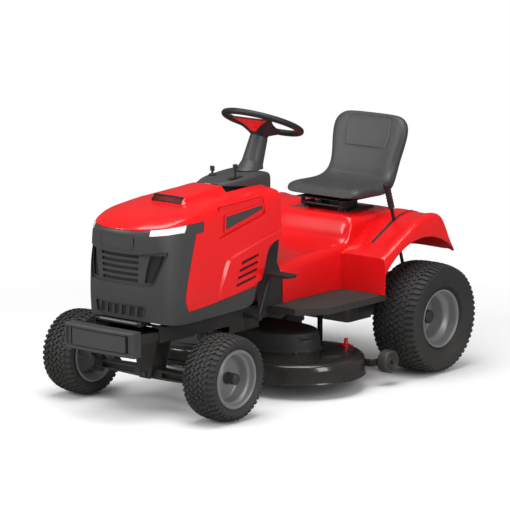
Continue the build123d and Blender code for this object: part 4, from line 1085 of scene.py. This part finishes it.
# Cross sections along the seat, from the front lip to the top of the back: the middle of
# the cushion as (y behind the axle, z above the seat), half-width, half-thickness and
# the direction of its thickness in degrees from the vertical.
SEAT_LINE = [(-152, 14, 150, 8, 40), (-146, 19, 182, 17, 25), (-122, 21, 194, 22, 8), (-80, 21, 199, 23, 0),
             (-20, 19, 200, 24, -2), (40, 18, 198, 25, -6), (90, 24, 190, 28, -18), (126, 48, 180, 29, -38),
             (148, 84, 174, 29, -60), (163, 130, 178, 27, -68), (178, 185, 190, 25, -70),
             (194, 240, 197, 24, -72), (206, 278, 188, 22, -73), (214, 302, 158, 17, -74),
             (217, 311, 120, 9, -74)]


def seat_ring(bm, y, z, half, thick, angle):
    """One rounded cross section: raised bolsters at the sides, a shallow dish between."""
    t = math.radians(angle)
    up = Vector((0, math.sin(t), math.cos(t)))
    shape = [(0, 1 - 0.22), (0.42, 1 - 0.20), (0.68, 1.0), (0.86, 1.12), (0.97, 0.72), (1.0, 0.0),
             (0.95, -0.75), (0.80, -1.0), (0.45, -1.0), (0, -1.0)]
    loop = [(half * a, thick * b) for a, b in shape]
    loop += [(-x, w) for x, w in reversed(loop[1:-1])]
    return [bm.verts.new((x * MM, rear_hub.y + (y + w * up.y) * MM, SEAT_Z + (z + w * up.z) * MM)) for x,
            w in loop]


def seat_cushion():
    """The whole seat, lofted through its cross sections."""
    bm = bmesh.new()
    rings = [seat_ring(bm, *row) for row in SEAT_LINE]
    n = len(rings[0])
    for a, b in zip(rings, rings[1:]):
        for i in range(n):
            j = (i + 1) % n
            bm.faces.new((a[i], a[j], b[j], b[i]))
    bm.faces.new(rings[0])
    bm.faces.new(rings[-1])
    outward(bm)
    return subdivided(bm, 3)


def channel(bm, centre_lines, width, depth):
    """Presses sewn channels into a skin along lines of points, in metres."""
    for v in bm.verts:
        best = min((v.co - a - (b - a) * max(0, min(1, (v.co - a).dot(b - a)
                                                    / max((b - a).length_squared, 1e-12)))).length
                   for line in centre_lines for a, b in zip(line, line[1:]))
        if best < width:
            v.co -= v.normal * depth * (0.5 + 0.5 * math.cos(math.pi * best / width))


cushion = subdivided(seat_cushion(), 1)
cushion.normal_update()


def on_seat(x, station, lift=1.0):
    """A point on the upper skin: x in mm and a station along the seat's line."""
    k = min(int(station), len(SEAT_LINE) - 2)
    f = station - k
    y, z, _, thick, angle = (a + (b - a) * f for a, b in zip(SEAT_LINE[k], SEAT_LINE[k + 1]))
    t = math.radians(angle)
    return Vector((x * MM, rear_hub.y + (y + thick * lift * math.sin(t)) * MM,
                   SEAT_Z + (z + thick * lift * math.cos(t)) * MM))


seams = []
panel = [(-105, 9.6), (105, 9.6), (118, 10.6), (112, 12.3), (88, 12.6), (-88, 12.6), (-112, 12.3),
         (-118, 10.6), (-105, 9.6)]
seams.append([on_seat(x, st, 0.8) for x, st in panel])
seams.append([on_seat(x, 6.7, 0.8) for x in (-165, -80, 0, 80, 165)])
seams.append([on_seat(x, 1.9, 0.85) for x in (-170, -90, 0, 90, 170)])
for s in (-1, 1):
    seams.append([on_seat(s * 118, st, 0.8) for st in (2, 3, 4, 5, 6)])
channel(cushion, seams, 7 * MM, 3.2 * MM)
cushion_piece = piece("seat_cushion", cushion, vinyl, "seat", 60, ["seat_cover"])

# ---- steering wheel -------------------------------------------------------
# A deep-dished wheel: a soft black rim over a steel ring, three arms that flare up out of
# the hub's neck, and a red panel let into the face between the two front arms.
soft_black = finished("soft_black_grip", (0.017, 0.017, 0.018), 0.48, grain=1500, depth=0.15, cloud=0.08,
                      dust=0.05)
wheel_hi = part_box("steering_wheel")[1]
COLUMN_TILT = math.radians(22.5)
RING_R, GRIP_R = 158, 14
ring_z = wheel_hi.z - (RING_R * math.sin(COLUMN_TILT) + GRIP_R) * MM
ring_y = wheel_hi.y - (RING_R * math.cos(COLUMN_TILT) + GRIP_R) * MM
column_frame = Matrix.Translation((0, ring_y, ring_z)) @ Matrix.Rotation(-COLUMN_TILT, 4, "X")


def on_column(bm):
    """Moves a shape made round +Z at the origin to the wheel's centre."""
    bmesh.ops.transform(bm, matrix=column_frame, verts=bm.verts)
    return bm


def turned_z(profile, steps=72):
    """A closed (radius, height) outline in mm turned about Z."""
    bm = turned_x(profile, (0, 0, 0), 1, steps)
    bmesh.ops.transform(bm, matrix=Matrix.Rotation(math.radians(-90), 4, "Y"), verts=bm.verts)
    return bm


GRIP_STEPS = [2 * math.pi * k / 20 for k in range(20)]
grip = [(RING_R + GRIP_R * math.cos(a), GRIP_R * 0.92 * math.sin(a)) for a in GRIP_STEPS]
rim_ring = on_column(turned_z(grip, 120))
CORNERS = [(118, -92), (0, 150), (-118, -92)]
NECK_R, NECK_Z, TOP_Z = 35, -60, -9


def dish_outline(angle):
    """Reach of the dish's mouth at an angle: a triangle with bowed sides, in mm."""
    way = Vector((math.cos(angle), math.sin(angle)))
    best = None
    for a, b in zip(CORNERS, CORNERS[1:] + CORNERS[:1]):
        a, b = Vector(a), Vector(b)
        cross = way.x * (b - a).y - way.y * (b - a).x
        if abs(cross) < 1e-9:
            continue
        far = (a.x * (b - a).y - a.y * (b - a).x) / cross
        share = ((way * far - a).dot(b - a)) / (b - a).length_squared
        if far > 0 and -1e-6 <= share <= 1 + 1e-6:
            bow = 1 - 0.22 * math.sin(math.pi * share) if a.y != b.y else 1 - 0.06 * math.sin(math.pi * share)
            best = far * bow
    return best or NECK_R


def dish_point(angle, rise, out=0.0):
    """A point on the dish's outside, from the neck (0) to its mouth (1)."""
    flare = rise ** 1.35
    r = NECK_R + (min(dish_outline(angle), 149) - NECK_R) * flare + out
    return Vector((r * math.cos(angle) * MM, r * math.sin(angle) * MM,
                   (NECK_Z + (TOP_Z - NECK_Z) * rise) * MM))


def dish():
    """The hub's trumpet shape, with a shallow hollow in its upper face."""
    bm = bmesh.new()
    steps, levels = 96, 14
    rings = []
    for k in range(levels + 1):
        rings.append([bm.verts.new(dish_point(2 * math.pi * i / steps, k / levels)) for i in range(steps)])
    rings.append([bm.verts.new(dish_point(2 * math.pi * i / steps,
                                          1) * 0.97 + Vector((0, 0, 0.0035))) for i in range(steps)])
    for scale, z in ((0.80, -0.004), (0.5, -0.010), (0.3, -0.011)):
        rings.append([bm.verts.new((rings[levels][i].co.x * scale, rings[levels][i].co.y * scale,
                                    z)) for i in range(steps)])
    for a, b in zip(rings, rings[1:]):
        for i in range(steps):
            bm.faces.new((a[i], a[(i + 1) % steps], b[(i + 1) % steps], b[i]))
    bm.faces.new(rings[0])
    bm.faces.new(rings[-1])
    return outward(bm)


def dish_panel():
    """The red panel on the front of the dish, a little proud of it."""
    bm = bmesh.new()
    rows = []
    for k in range(13):
        t = k / 12
        rise = 0.20 + 0.74 * t
        spread = math.radians(14 + 33 * t ** 0.8)
        rows.append([bm.verts.new(dish_point(-math.pi / 2 + spread * s / 10, rise, 1.6))
                     for s in range(-10, 11)])
    for a, b in zip(rows, rows[1:]):
        for i in range(20):
            bm.faces.new((a[i], a[i + 1], b[i + 1], b[i]))
    bmesh.ops.recalc_face_normals(bm, faces=bm.faces)
    if sum(f.normal.y for f in bm.faces) > 0:
        bmesh.ops.reverse_faces(bm, faces=bm.faces)
    return walled(bm, 2.4 * MM, even=False)


neck = turned_z(rounded([(8.2, -62), (34, -62), (35, -59), (8.2, -59)], 1, 2), 64)
arm_bars = [rod_mesh(Vector((c[0] * 0.9, c[1] * 0.9, -8)) * MM, Vector((c[0] * 1.03, c[1] * 1.03, -3)) * MM,
                     9 * MM, 20) for c in CORNERS]
wheel_mesh = joined(rim_ring, on_column(joined(dish(), neck, *arm_bars)))
piece("steering_wheel_moulding", wheel_mesh, soft_black, "steering_column", 40,
      ["steering_wheel"])
piece("steering_wheel_panel", on_column(dish_panel()), red_gloss, "steering_column", 40,
      ["steering_wheel_insert"])

# ---- dash console ---------------------------------------------------------
# Grey moulded console over the hood's rear edge, rounded at its edges, carrying the
# throttle slide and the key switch. The column's two covers rise out of it.
console_lo, console_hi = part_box("dash_console")


def console_cage():
    """Half cage: rows across from the middle outwards at stations from front to rear (mm)."""
    bm = bmesh.new()
    layer = bm.edges.layers.float.new("crease_edge")
    y0, y1, widest = console_lo.y / MM, console_hi.y / MM, console_hi.x / MM - 3
    stations = [(y0, 849, 845), (y0 + 8, 853, 838), (y0 + 75, 859, 834), (y0 + 148, 864, 826),
                (y1 - 96, 867, 800), (y1 - 50, 870, 784), (y1 - 12, 871, 784), (y1 - 2, 866, 784),
                (y1, 852, 784)]
    rows = []
    for y, top, low in stations:
        front = (y - y0) / (y1 - y0)
        half = widest * (0.60 + 0.40 * min(1, front * 3.2))
        rows.append([bm.verts.new((x * MM, y * MM, z * MM)) for x,
                     z in ((0, top), (half * 0.6, top), (half * 0.9, top - 1), (half * 0.985, top - 5),
                           (half, top - 12), (half, low))])
    for a, b in zip(rows, rows[1:]):
        for i in range(5):
            bm.faces.new((a[i], b[i], b[i + 1], a[i + 1]))
    for k in (0, -1):
        row = rows[k]
        foot = [bm.verts.new((v.co.x, v.co.y, row[-1].co.z)) for v in row[:-1]] + [row[-1]]
        for i in range(4):
            bm.faces.new((row[i], row[i + 1], foot[i + 1], foot[i]))
        bm.faces.new((row[4], row[5], foot[4]))
        for i in range(5):
            bm.edges.get((row[i], row[i + 1]))[layer] = 0.45
    return facing_up(mirrored(bm))


console = walled(subdivided(console_cage(), 3), SHELL, even=False)
piece("dash_console_moulding", console, grey_satin, "chassis", 40, ["dash_console"])
slide = sum(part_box("throttle_lever"), Vector()) / 2
gate_box = joined(plate_box((slide.x, slide.y, 0.8632), (0.024, 0.072, 0.003)),
                  plate_box((slide.x, slide.y, 0.8650), (0.005, 0.056, 0.0008)))
switch = turned_z(rounded([(0, 860), (15, 860), (15, 865.5), (12, 867), (7, 867), (7, 865), (0, 865)], 0.8,
                          2), 40)
skirt = plate_box((0, console_lo.y + 0.085, 0.812), (0.110, 0.130, 0.034))
piece("throttle_gate", joined(skirt, gate_box, shifted(switch, (-0.060, slide.y, 0))), black_matt,
      "chassis", 40)

# ---- bumper ---------------------------------------------------------------
# A moulded grey front guard with a raised border, a flat middle panel and a dark upright
# slot at each end, bolted to two brackets off the frame rails.
bump_lo, bump_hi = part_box("front_bumper")


def bumper_relief():
    """The guard's face as a height field over (x, z), closed by a flat back."""
    w, z0, z1 = bump_hi.x / MM - 0.5, bump_lo.z / MM + 0.5, bump_hi.z / MM - 0.5
    xs = [0, 60, 120, 138, 139, 148, 149, 155, 158, 166, 169, 176, w]
    xs = [-x for x in reversed(xs[1:])] + xs
    zs = [z0, z0 + 5, z0 + 12, z0 + 15, z0 + 18, z0 + 20, (z0 + z1) / 2, z1 - 20, z1 - 18, z1 - 15, z1 - 12,
          z1 - 5, z1]
    front = bump_lo.y / MM
    bm = bmesh.new()
    grid = []
    for x in xs:
        column = []
        for z in zs:
            edge_x, edge_z = w - abs(x), min(z - z0, z1 - z)
            bow = 9 * (x / w) ** 2
            if edge_x < 1 or edge_z < 1:
                depth = 4
            elif edge_x < 13 or edge_z < 13:
                depth = 0
            elif edge_x < 24 or edge_z < 16:
                depth = 7
            elif 138.5 < abs(x) < 148.5 and edge_z > 17:
                depth = 22
            elif abs(x) > 138.5:
                depth = 7
            else:
                depth = 3 if edge_z > 17 else 7
            column.append(bm.verts.new((x * MM, (front + 0.5 + depth + bow) * MM, z * MM)))
        grid.append(column)
    for a, b in zip(grid, grid[1:]):
        for j in range(len(zs) - 1):
            bm.faces.new((a[j], b[j], b[j + 1], a[j + 1]))
    loop = (grid[0] + [c[-1] for c in grid[1:-1]] + list(reversed(grid[-1]))
            + [c[0] for c in reversed(grid[1:-1])])
    rear_y = bump_hi.y - 0.5 * MM
    backs = [bm.verts.new((v.co.x * 0.985, rear_y, v.co.z)) for v in loop]
    for i in range(len(loop)):
        j = (i + 1) % len(loop)
        bm.faces.new((loop[i], loop[j], backs[j], backs[i]))
    bm.faces.new(backs)
    return outward(bm)


piece("front_guard_moulding", bumper_relief(), grey_satin, "chassis", 25, ["front_bumper"])
bolt = hex_nut(13, 0, 7)
bmesh.ops.transform(bolt, matrix=Matrix.Rotation(math.radians(90), 4, "Z"), verts=bolt.verts)
zinc = finished("zinc_plate", (0.20, 0.20, 0.21), 0.42, grain=600, depth=0.05, cloud=0.2, dust=0.1,
                Metallic=0.9)
guard_bolts = shifted(repeated(bolt, 2, zinc, step=(0, 0, 0.03)), (0.168, bump_hi.y - 0.001, 0.30))
piece("front_guard_bolts", both_sides(guard_bolts), zinc, "chassis", 30)

# ---- footboards -----------------------------------------------------------
# Pressed boards under each foot, coated in textured rubber with rows of raised studs.
foot_rubber = finished("foot_rubber_mat", (0.022, 0.021, 0.020), 0.7, grain=800, depth=0.3, cloud=0.15,
                       dust=0.2)
board_lo, board_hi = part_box("footboards")


def stud():
    """One raised oval stud of the mat."""
    bm = bmesh.new()
    bmesh.ops.create_cone(bm, cap_ends=True, segments=10, radius1=5.2 * MM, radius2=3.6 * MM, depth=2.4 * MM,
                          matrix=Matrix.Diagonal((0.75, 1.5, 1, 1)))
    return bm


STUD_PITCH, LINE_PITCH = 0.021, 0.0195
CORNER_X = 0.315                    # beyond it the board's front corner is cut off
lines = []
for i in range(10):
    x = 0.214 + LINE_PITCH * i
    clear = 0.022 + max(0.0, x - CORNER_X) * 1.15
    first = board_lo.y + (math.ceil(clear / STUD_PITCH) + (0.5 if i % 2 else 0)) * STUD_PITCH
    count = int((board_hi.y - 0.016 - first) / STUD_PITCH) + 1
    studs = repeated(stud(), count, foot_rubber, step=(0, STUD_PITCH, 0))
    lines.append(shifted(studs, (x, first, board_hi.z + 0.6 * MM)))
piece("footboard_studs", both_sides(joined(*lines)), foot_rubber, "chassis", 30)

# ---- cutting deck ---------------------------------------------------------
# Pressed steel deck in gloss black enamel: two round lobes with a rolled shoulder and hem,
# open below and at the right-hand outlet, hung from slotted ears on the frame.
deck_black = finished("deck_enamel", (0.010, 0.010, 0.011), 0.20, grain=160, depth=0.05, cloud=0.06, dust=0.12,
                      Coat_Weight=0.6, Coat_Roughness=0.05)
spindle = sum(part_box("blade_spindle_left"), Vector()) / 2
LOBE_X, DECK_Y, LOBE_R = spindle.x, spindle.y, 262
DECK_TOP, DECK_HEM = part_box("belt_cover")[0].z / MM, 62.0


def lobe(inset, top, low):
    """One round lobe: its rolled outside, or the plain form of its hollow when it is inset."""
    r = LOBE_R - inset
    profile = [(0, low), (r - 1, low), (r - 4, top - 37), (r - 11, top - 18), (r - 26, top - 7), (0, top - 5)]
    if not inset:
        profile = [(0, low), (r, low), (r, low + 4), (r - 2, low + 7), (r - 3, top - 34), (r - 9, top - 14),
                   (r - 26, top - 5), (r - 60, top - 3), (r - 66, top), (0, top)]
    return turned_z(rounded(profile, 6, 3) if not inset else profile, 120)


def deck_solid(inset, top, low):
    """Both lobes and the slab between them, in mm."""
    parts = [shifted(lobe(inset, top, low), (s * LOBE_X, DECK_Y, 0)) for s in (-1, 1)]
    width = (LOBE_R - 22 - inset) * MM
    middle = prism_x(rounded([(DECK_Y - width, low * MM), (DECK_Y + width, low * MM),
                              (DECK_Y + width, (top - 14) * MM), (DECK_Y + width - 0.024, (top - 4) * MM),
                              (DECK_Y - width + 0.024, (top - 4) * MM), (DECK_Y - width, (top - 14) * MM)],
                             0.008, 3), -LOBE_X, LOBE_X)
    return carve(carve(parts[0], middle, "UNION"), parts[1], "UNION")


deck = carve(deck_solid(0, DECK_TOP, DECK_HEM), deck_solid(4.5, DECK_TOP - 4, DECK_HEM - 6))
deck = carve(deck, box_mesh((-0.56, DECK_Y - 0.11, 0.050), (-LOBE_X - 0.10, DECK_Y + 0.11, 0.146)))
for s in (-1, 1):
    deck = carve(deck, shifted(turned_z([(0, 120), (30, 120), (30, 170), (0, 170)], 48),
                               (s * LOBE_X, DECK_Y, 0)))
roller_lo, roller_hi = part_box("scalp_wheel_left")
roller = (roller_lo + roller_hi) / 2
fittings = []
for s in (-1, 1):
    fittings += [plate_box((s * (roller_lo.x - 0.004), roller.y - 0.029, roller.z), (0.006, 0.082, 0.028)),
                 plate_box((s * (roller_lo.x - 0.036), roller.y - 0.070, roller.z), (0.070, 0.018, 0.028)),
                 rod_mesh((s * (roller_lo.x - 0.004), roller.y, roller.z),
                          (s * (roller_hi.x + 0.006), roller.y, roller.z), 0.0058, 20)]
    x, y, top = s * 0.1845, DECK_Y + 0.190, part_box("deck_shell")[1].z
    for side_y in (-0.0105, 0.0105):
        fittings.append(plate_box((x, y + side_y, (DECK_TOP * MM + top) / 2),
                                  (0.005, 0.009, top - DECK_TOP * MM)))
    fittings += [plate_box((x, y, top - 0.0028), (0.005, 0.030, 0.0056)),
                 plate_box((x, y, 0.212), (0.005, 0.030, 0.126))]
flap_lo, flap_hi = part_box("discharge_flap")
hinge_x, hinge_z = -(LOBE_X + 0.272), DECK_TOP * MM - 0.008
fittings.append(rod_mesh((hinge_x, flap_lo.y - 0.016, hinge_z), (hinge_x, flap_hi.y + 0.016, hinge_z),
                         0.004, 16))
for y in (flap_lo.y - 0.011, flap_hi.y + 0.011):
    fittings.append(plate_box((hinge_x + 0.020, y, hinge_z), (0.054, 0.006, 0.016)))
piece("deck_pressing", joined(deck, *fittings), deck_black, "deck", 32, ["deck_shell"])


def cover_cage():
    """Belt cover: rings of one outline, drawn in towards a crowned top."""
    bm = bmesh.new()
    layer = bm.edges.layers.float.new("crease_edge")
    outline = [(-190, -130), (0, -132), (190, -130), (300, -40), (308, 60), (240, 148), (0, 148),
               (-240, 148), (-308, 60), (-300, -40)]
    rings = []
    for z, scale in ((DECK_TOP + 0.5, 1.0), (DECK_TOP + 4, 1.0), (DECK_TOP + 6, 0.975), (200, 0.955),
                     (224, 0.93), (233, 0.88), (234, 0.60), (231, 0.35)):
        rings.append([bm.verts.new((x * scale * MM, DECK_Y + y * scale * MM, z * MM)) for x, y in outline])
    for a, b in zip(rings, rings[1:]):
        for i in range(len(outline)):
            j = (i + 1) % len(outline)
            bm.faces.new((a[i], a[j], b[j], b[i]))
    bm.faces.new(rings[-1])
    for k in (0, 1, 2, 4):
        for i in range(len(outline)):
            bm.edges.get((rings[k][i], rings[k][(i + 1) % len(outline)]))[layer] = 0.5 if k == 4 else 0.8
    return facing_up(bm)


cover = walled(subdivided(cover_cage(), 3), SHELL, even=False)
screws = []
for x, y in ((-0.262, -0.062), (0.262, -0.062), (0.0, -0.118), (-0.215, 0.128), (0.215, 0.128)):
    head = hex_nut(10, 0, 5)
    bmesh.ops.transform(head, matrix=Matrix.Rotation(math.radians(-90), 4, "Y"), verts=head.verts)
    screws.append(shifted(head, (x, DECK_Y + y, DECK_TOP * MM + 0.003)))
piece("belt_cover_moulding", cover, black_matt, "deck", 40, ["belt_cover"])
piece("belt_cover_screws", joined(*screws), zinc, "deck", 30)

# ---- rollers and wash port -------------------------------------------------
# Nylon anti-scalp rollers with a stepped face, and a red hose nozzle with two wings.
for side_name, s in SIDES:
    r = 47
    w0, w1 = -22.5, 22.5
    outline = [(6.1, w0), (r - 4, w0), (r, w0 + 5), (r, w1 - 5), (r - 4, w1), (r - 12, w1),
               (r - 15, w1 - 7), (22, w1 - 7), (20, w1 - 1), (12, w1 - 1), (11, w1 - 4), (6.1, w1 - 4)]
    wheel = turned_x(rounded(outline, 2.5, 3), (s * roller.x, roller.y, roller.z), s, 64)
    piece(f"anti_scalp_roller_{side_name}", wheel, cap_black, f"roller_{side_name}", 35,
          [f"scalp_wheel_{side_name}"])
port = sum(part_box("wash_port"), Vector()) / 2
nozzle = turned_z(rounded([(0, 150), (20, 150), (20, 154), (17, 156), (9.5, 157), (9.5, 160), (8, 161),
                           (8, 166), (9, 167), (9, 170), (7.5, 172), (7.5, 177), (8.5, 178), (8.5, 180),
                           (5.5, 180), (5.5, 160), (0, 160)], 0.6, 2), 48)
wings = joined(plate_box((-0.022, 0, 0.1525), (0.023, 0.017, 0.005)),
               plate_box((0.022, 0, 0.1525), (0.023, 0.017, 0.005)))
piece("deck_wash_nozzle", shifted(joined(nozzle, wings), (port.x, port.y, 0)), red_gloss, "deck",
      35, ["wash_port"])

# ---- pedals and lift lever -------------------------------------------------
# Cranked steel rods in black enamel; ribbed rubber pads on the pedals, a moulded grip on
# the lever that sets the height of cut.
frame_paint = finished("frame_enamel", (0.014, 0.014, 0.015), 0.38, grain=500, depth=0.08, cloud=0.12,
                       dust=0.25)
PAD_DEPTH = 0.060
for body, x0, x1 in (("brake", 0.236, 0.358), ("drive", -0.330, -0.240)):
    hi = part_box(f"{body}_pedal")[1]
    x, y = (x0 + x1) / 2, hi.y - PAD_DEPTH / 2
    pad = plate_box((x, y, hi.z + 0.0012), (x1 - x0, PAD_DEPTH, 0.005))
    rib = plate_box((0, 0, 0), (x1 - x0 - 0.012, 0.004, 0.003))
    ribs = shifted(repeated(rib, 6, foot_rubber, step=(0, 0.0085, 0)), (x, y - 0.0213, hi.z + 0.0042))
    piece(f"{body}_pedal_pad", joined(pad, ribs), foot_rubber, body, 35)
grip_lo, grip_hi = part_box("lever_grip")
grip_x = (grip_lo.x + grip_hi.x) / 2
axis_from = Vector((grip_x, grip_hi.y - 0.0146, grip_lo.z + 0.008))
axis_to = Vector((grip_x, grip_lo.y + 0.0146, grip_hi.z - 0.008))
length = (axis_to - axis_from).length / MM
shape = [(7.2, 0), (12, 0), (13.5, 2)]
for k in range(6):
    z = 8 + k * (length - 30) / 6
    shape += [(13.6, z), (12.2, z + 3), (12.2, z + 7), (13.8, z + 10)]
shape += [(15, length - 16), (14.2, length - 6), (10, length - 1), (0, length), (0, length - 6),
          (7.2, length - 6)]
grip_mesh = turned_z(rounded(shape, 1.2, 2), 40)
turn = (axis_to - axis_from).to_track_quat("Z", "Y").to_matrix().to_4x4()
bmesh.ops.transform(grip_mesh, matrix=Matrix.Translation(axis_from) @ turn, verts=grip_mesh.verts)
piece("lift_lever_grip", grip_mesh, soft_black, "lift_lever", 40, ["lever_grip"])

# ---- everything else on the frame ------------------------------------------
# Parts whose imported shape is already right: each takes the finish of its own metal,
# plastic or rubber.
cast_alloy = finished("cast_alloy", (0.30, 0.30, 0.31), 0.48, grain=350, depth=0.35, cloud=0.15, dust=0.3,
                      Metallic=0.7)
tank_plastic = finished("tank_plastic", (0.62, 0.61, 0.57), 0.45, grain=500, depth=0.08, cloud=0.06, dust=0.1)
belt_rubber = finished("belt_rubber", (0.020, 0.019, 0.018), 0.7, grain=600, depth=0.2, cloud=0.1, dust=0.15)
blade_steel = finished("blade_steel", (0.35, 0.35, 0.36), 0.34, grain=420, depth=0.12, cloud=0.3, dust=0.25,
                       Metallic=0.9)
by_slot = {"frame": frame_paint, "zinc": zinc, "grey_plastic": grey_satin, "black_plastic": black_matt,
           "cast_alloy": cast_alloy, "tank_plastic": tank_plastic, "belt_rubber": belt_rubber,
           "red_body": red_gloss, "foot_rubber": foot_rubber, "lamp_lens": lens_mat,
           "soft_black": soft_black, "tyre": rubber, "rim_silver": rim_paint, "deck_black": deck_black,
           "blade_steel": blade_steel, "seat_vinyl": vinyl}
slot_of = {row["node"]: row["material_slot"] for row in frame["record"]["subparts"]}
for node, obj in frame["nodes"].items():
    if not obj.hide_render:
        obj.data.materials.clear()
        obj.data.materials.append(by_slot[slot_of[node]])

# ---- camera, floor and light ----------------------------------------------
# A pale floor and backdrop in one sweep, with broad soft lights overhead and to the left.
cam_data = bpy.data.cameras.new("camera")
cam_data.lens, cam_data.sensor_width = 227.6, 36
cam = bpy.data.objects.new("camera", cam_data)
bpy.context.scene.collection.objects.link(cam)
TARGET = Vector((0, 0.0787, 0.5131))
AZ, EL, DIST = math.radians(39.85), math.radians(10.74), 13.091
back = Vector((math.sin(AZ) * math.cos(EL), -math.cos(AZ) * math.cos(EL), math.sin(EL)))
cam.location = TARGET + back * DIST
cam.rotation_mode = "QUATERNION"
cam.rotation_quaternion = (-back).to_track_quat("-Z", "Y")
cam_data.clip_end = 100
bpy.context.scene.camera = cam
bpy.context.scene.view_settings.view_transform = "Standard"

floor_bm = bmesh.new()
bmesh.ops.create_grid(floor_bm, x_segments=2, y_segments=2, size=30)
floor_mesh = bpy.data.meshes.new("floor")
floor_bm.to_mesh(floor_mesh)
floor_bm.free()
floor = bpy.data.objects.new("floor", floor_mesh)
floor.location.z = -0.5 * MM
bpy.context.scene.collection.objects.link(floor)
floor_mat, floor_tree, floor_shader = principled("floor", (0.93, 0.93, 0.93), 0.7)
glow, fade = floor_tree.nodes.new("ShaderNodeEmission"), floor_tree.nodes.new("ShaderNodeMixShader")
where, far = floor_tree.nodes.new("ShaderNodeTexCoord"), floor_tree.nodes.new("ShaderNodeVectorMath")
reach = floor_tree.nodes.new("ShaderNodeMapRange")
far.operation = "LENGTH"
reach.inputs["From Min"].default_value, reach.inputs["From Max"].default_value = 0.9, 2.4
floor_tree.links.new(where.outputs["Object"], far.inputs[0])
floor_tree.links.new(far.outputs["Value"], reach.inputs["Value"])
floor_tree.links.new(reach.outputs["Result"], fade.inputs[0])
floor_tree.links.new(floor_shader.outputs[0], fade.inputs[1])
floor_tree.links.new(glow.outputs[0], fade.inputs[2])
gloss_ray, dim = floor_tree.nodes.new("ShaderNodeLightPath"), floor_tree.nodes.new("ShaderNodeEmission")
mirror_mix = floor_tree.nodes.new("ShaderNodeMixShader")
dim.inputs["Strength"].default_value = 0.10
floor_tree.links.new(gloss_ray.outputs["Is Glossy Ray"], mirror_mix.inputs[0])
floor_tree.links.new(fade.outputs[0], mirror_mix.inputs[1])
floor_tree.links.new(dim.outputs[0], mirror_mix.inputs[2])
floor_tree.links.new(mirror_mix.outputs[0], floor_tree.nodes["Material Output"].inputs[0])
floor_mesh.materials.append(floor_mat)

world = bpy.data.worlds.new("studio")
bpy.context.scene.world = world
world.use_nodes = True
world_tree = world.node_tree
ray = world_tree.nodes.new("ShaderNodeLightPath")
shades = [world_tree.nodes["Background"]]
for kind, strength in (("Is Glossy Ray", 0.10), ("Is Camera Ray", 1.0)):
    shade, either = world_tree.nodes.new("ShaderNodeBackground"), world_tree.nodes.new("ShaderNodeMixShader")
    shade.inputs[1].default_value = strength
    world_tree.links.new(ray.outputs[kind], either.inputs[0])
    world_tree.links.new(shades[-1].outputs[0], either.inputs[1])
    world_tree.links.new(shade.outputs[0], either.inputs[2])
    shade.inputs[0].default_value = (1, 1, 1, 1)
    shades.append(either)
shades[0].inputs[0].default_value = (1, 1, 1, 1)
shades[0].inputs[1].default_value = 0.45
world_tree.links.new(shades[-1].outputs[0], world_tree.nodes["World Output"].inputs[0])


def softbox(name, where, aim, size, power):
    data = bpy.data.lights.new(name, "AREA")
    data.shape, data.size, data.size_y, data.energy = "RECTANGLE", size[0], size[1], power
    obj = bpy.data.objects.new(name, data)
    obj.location = where
    obj.rotation_mode = "QUATERNION"
    obj.rotation_quaternion = (Vector(aim) - Vector(where)).to_track_quat("-Z", "Y")
    bpy.context.scene.collection.objects.link(obj)


softbox("overhead", (0.3, -0.6, 4.2), (0, 0, 0.4), (3.2, 3.2), 150)
softbox("front_left", (-2.6, -4.2, 2.6), (0, 0, 0.5), (1.6, 2.4), 110)
softbox("side_right", (4.4, -0.8, 2.2), (0, 0, 0.5), (1.4, 2.6), 70)
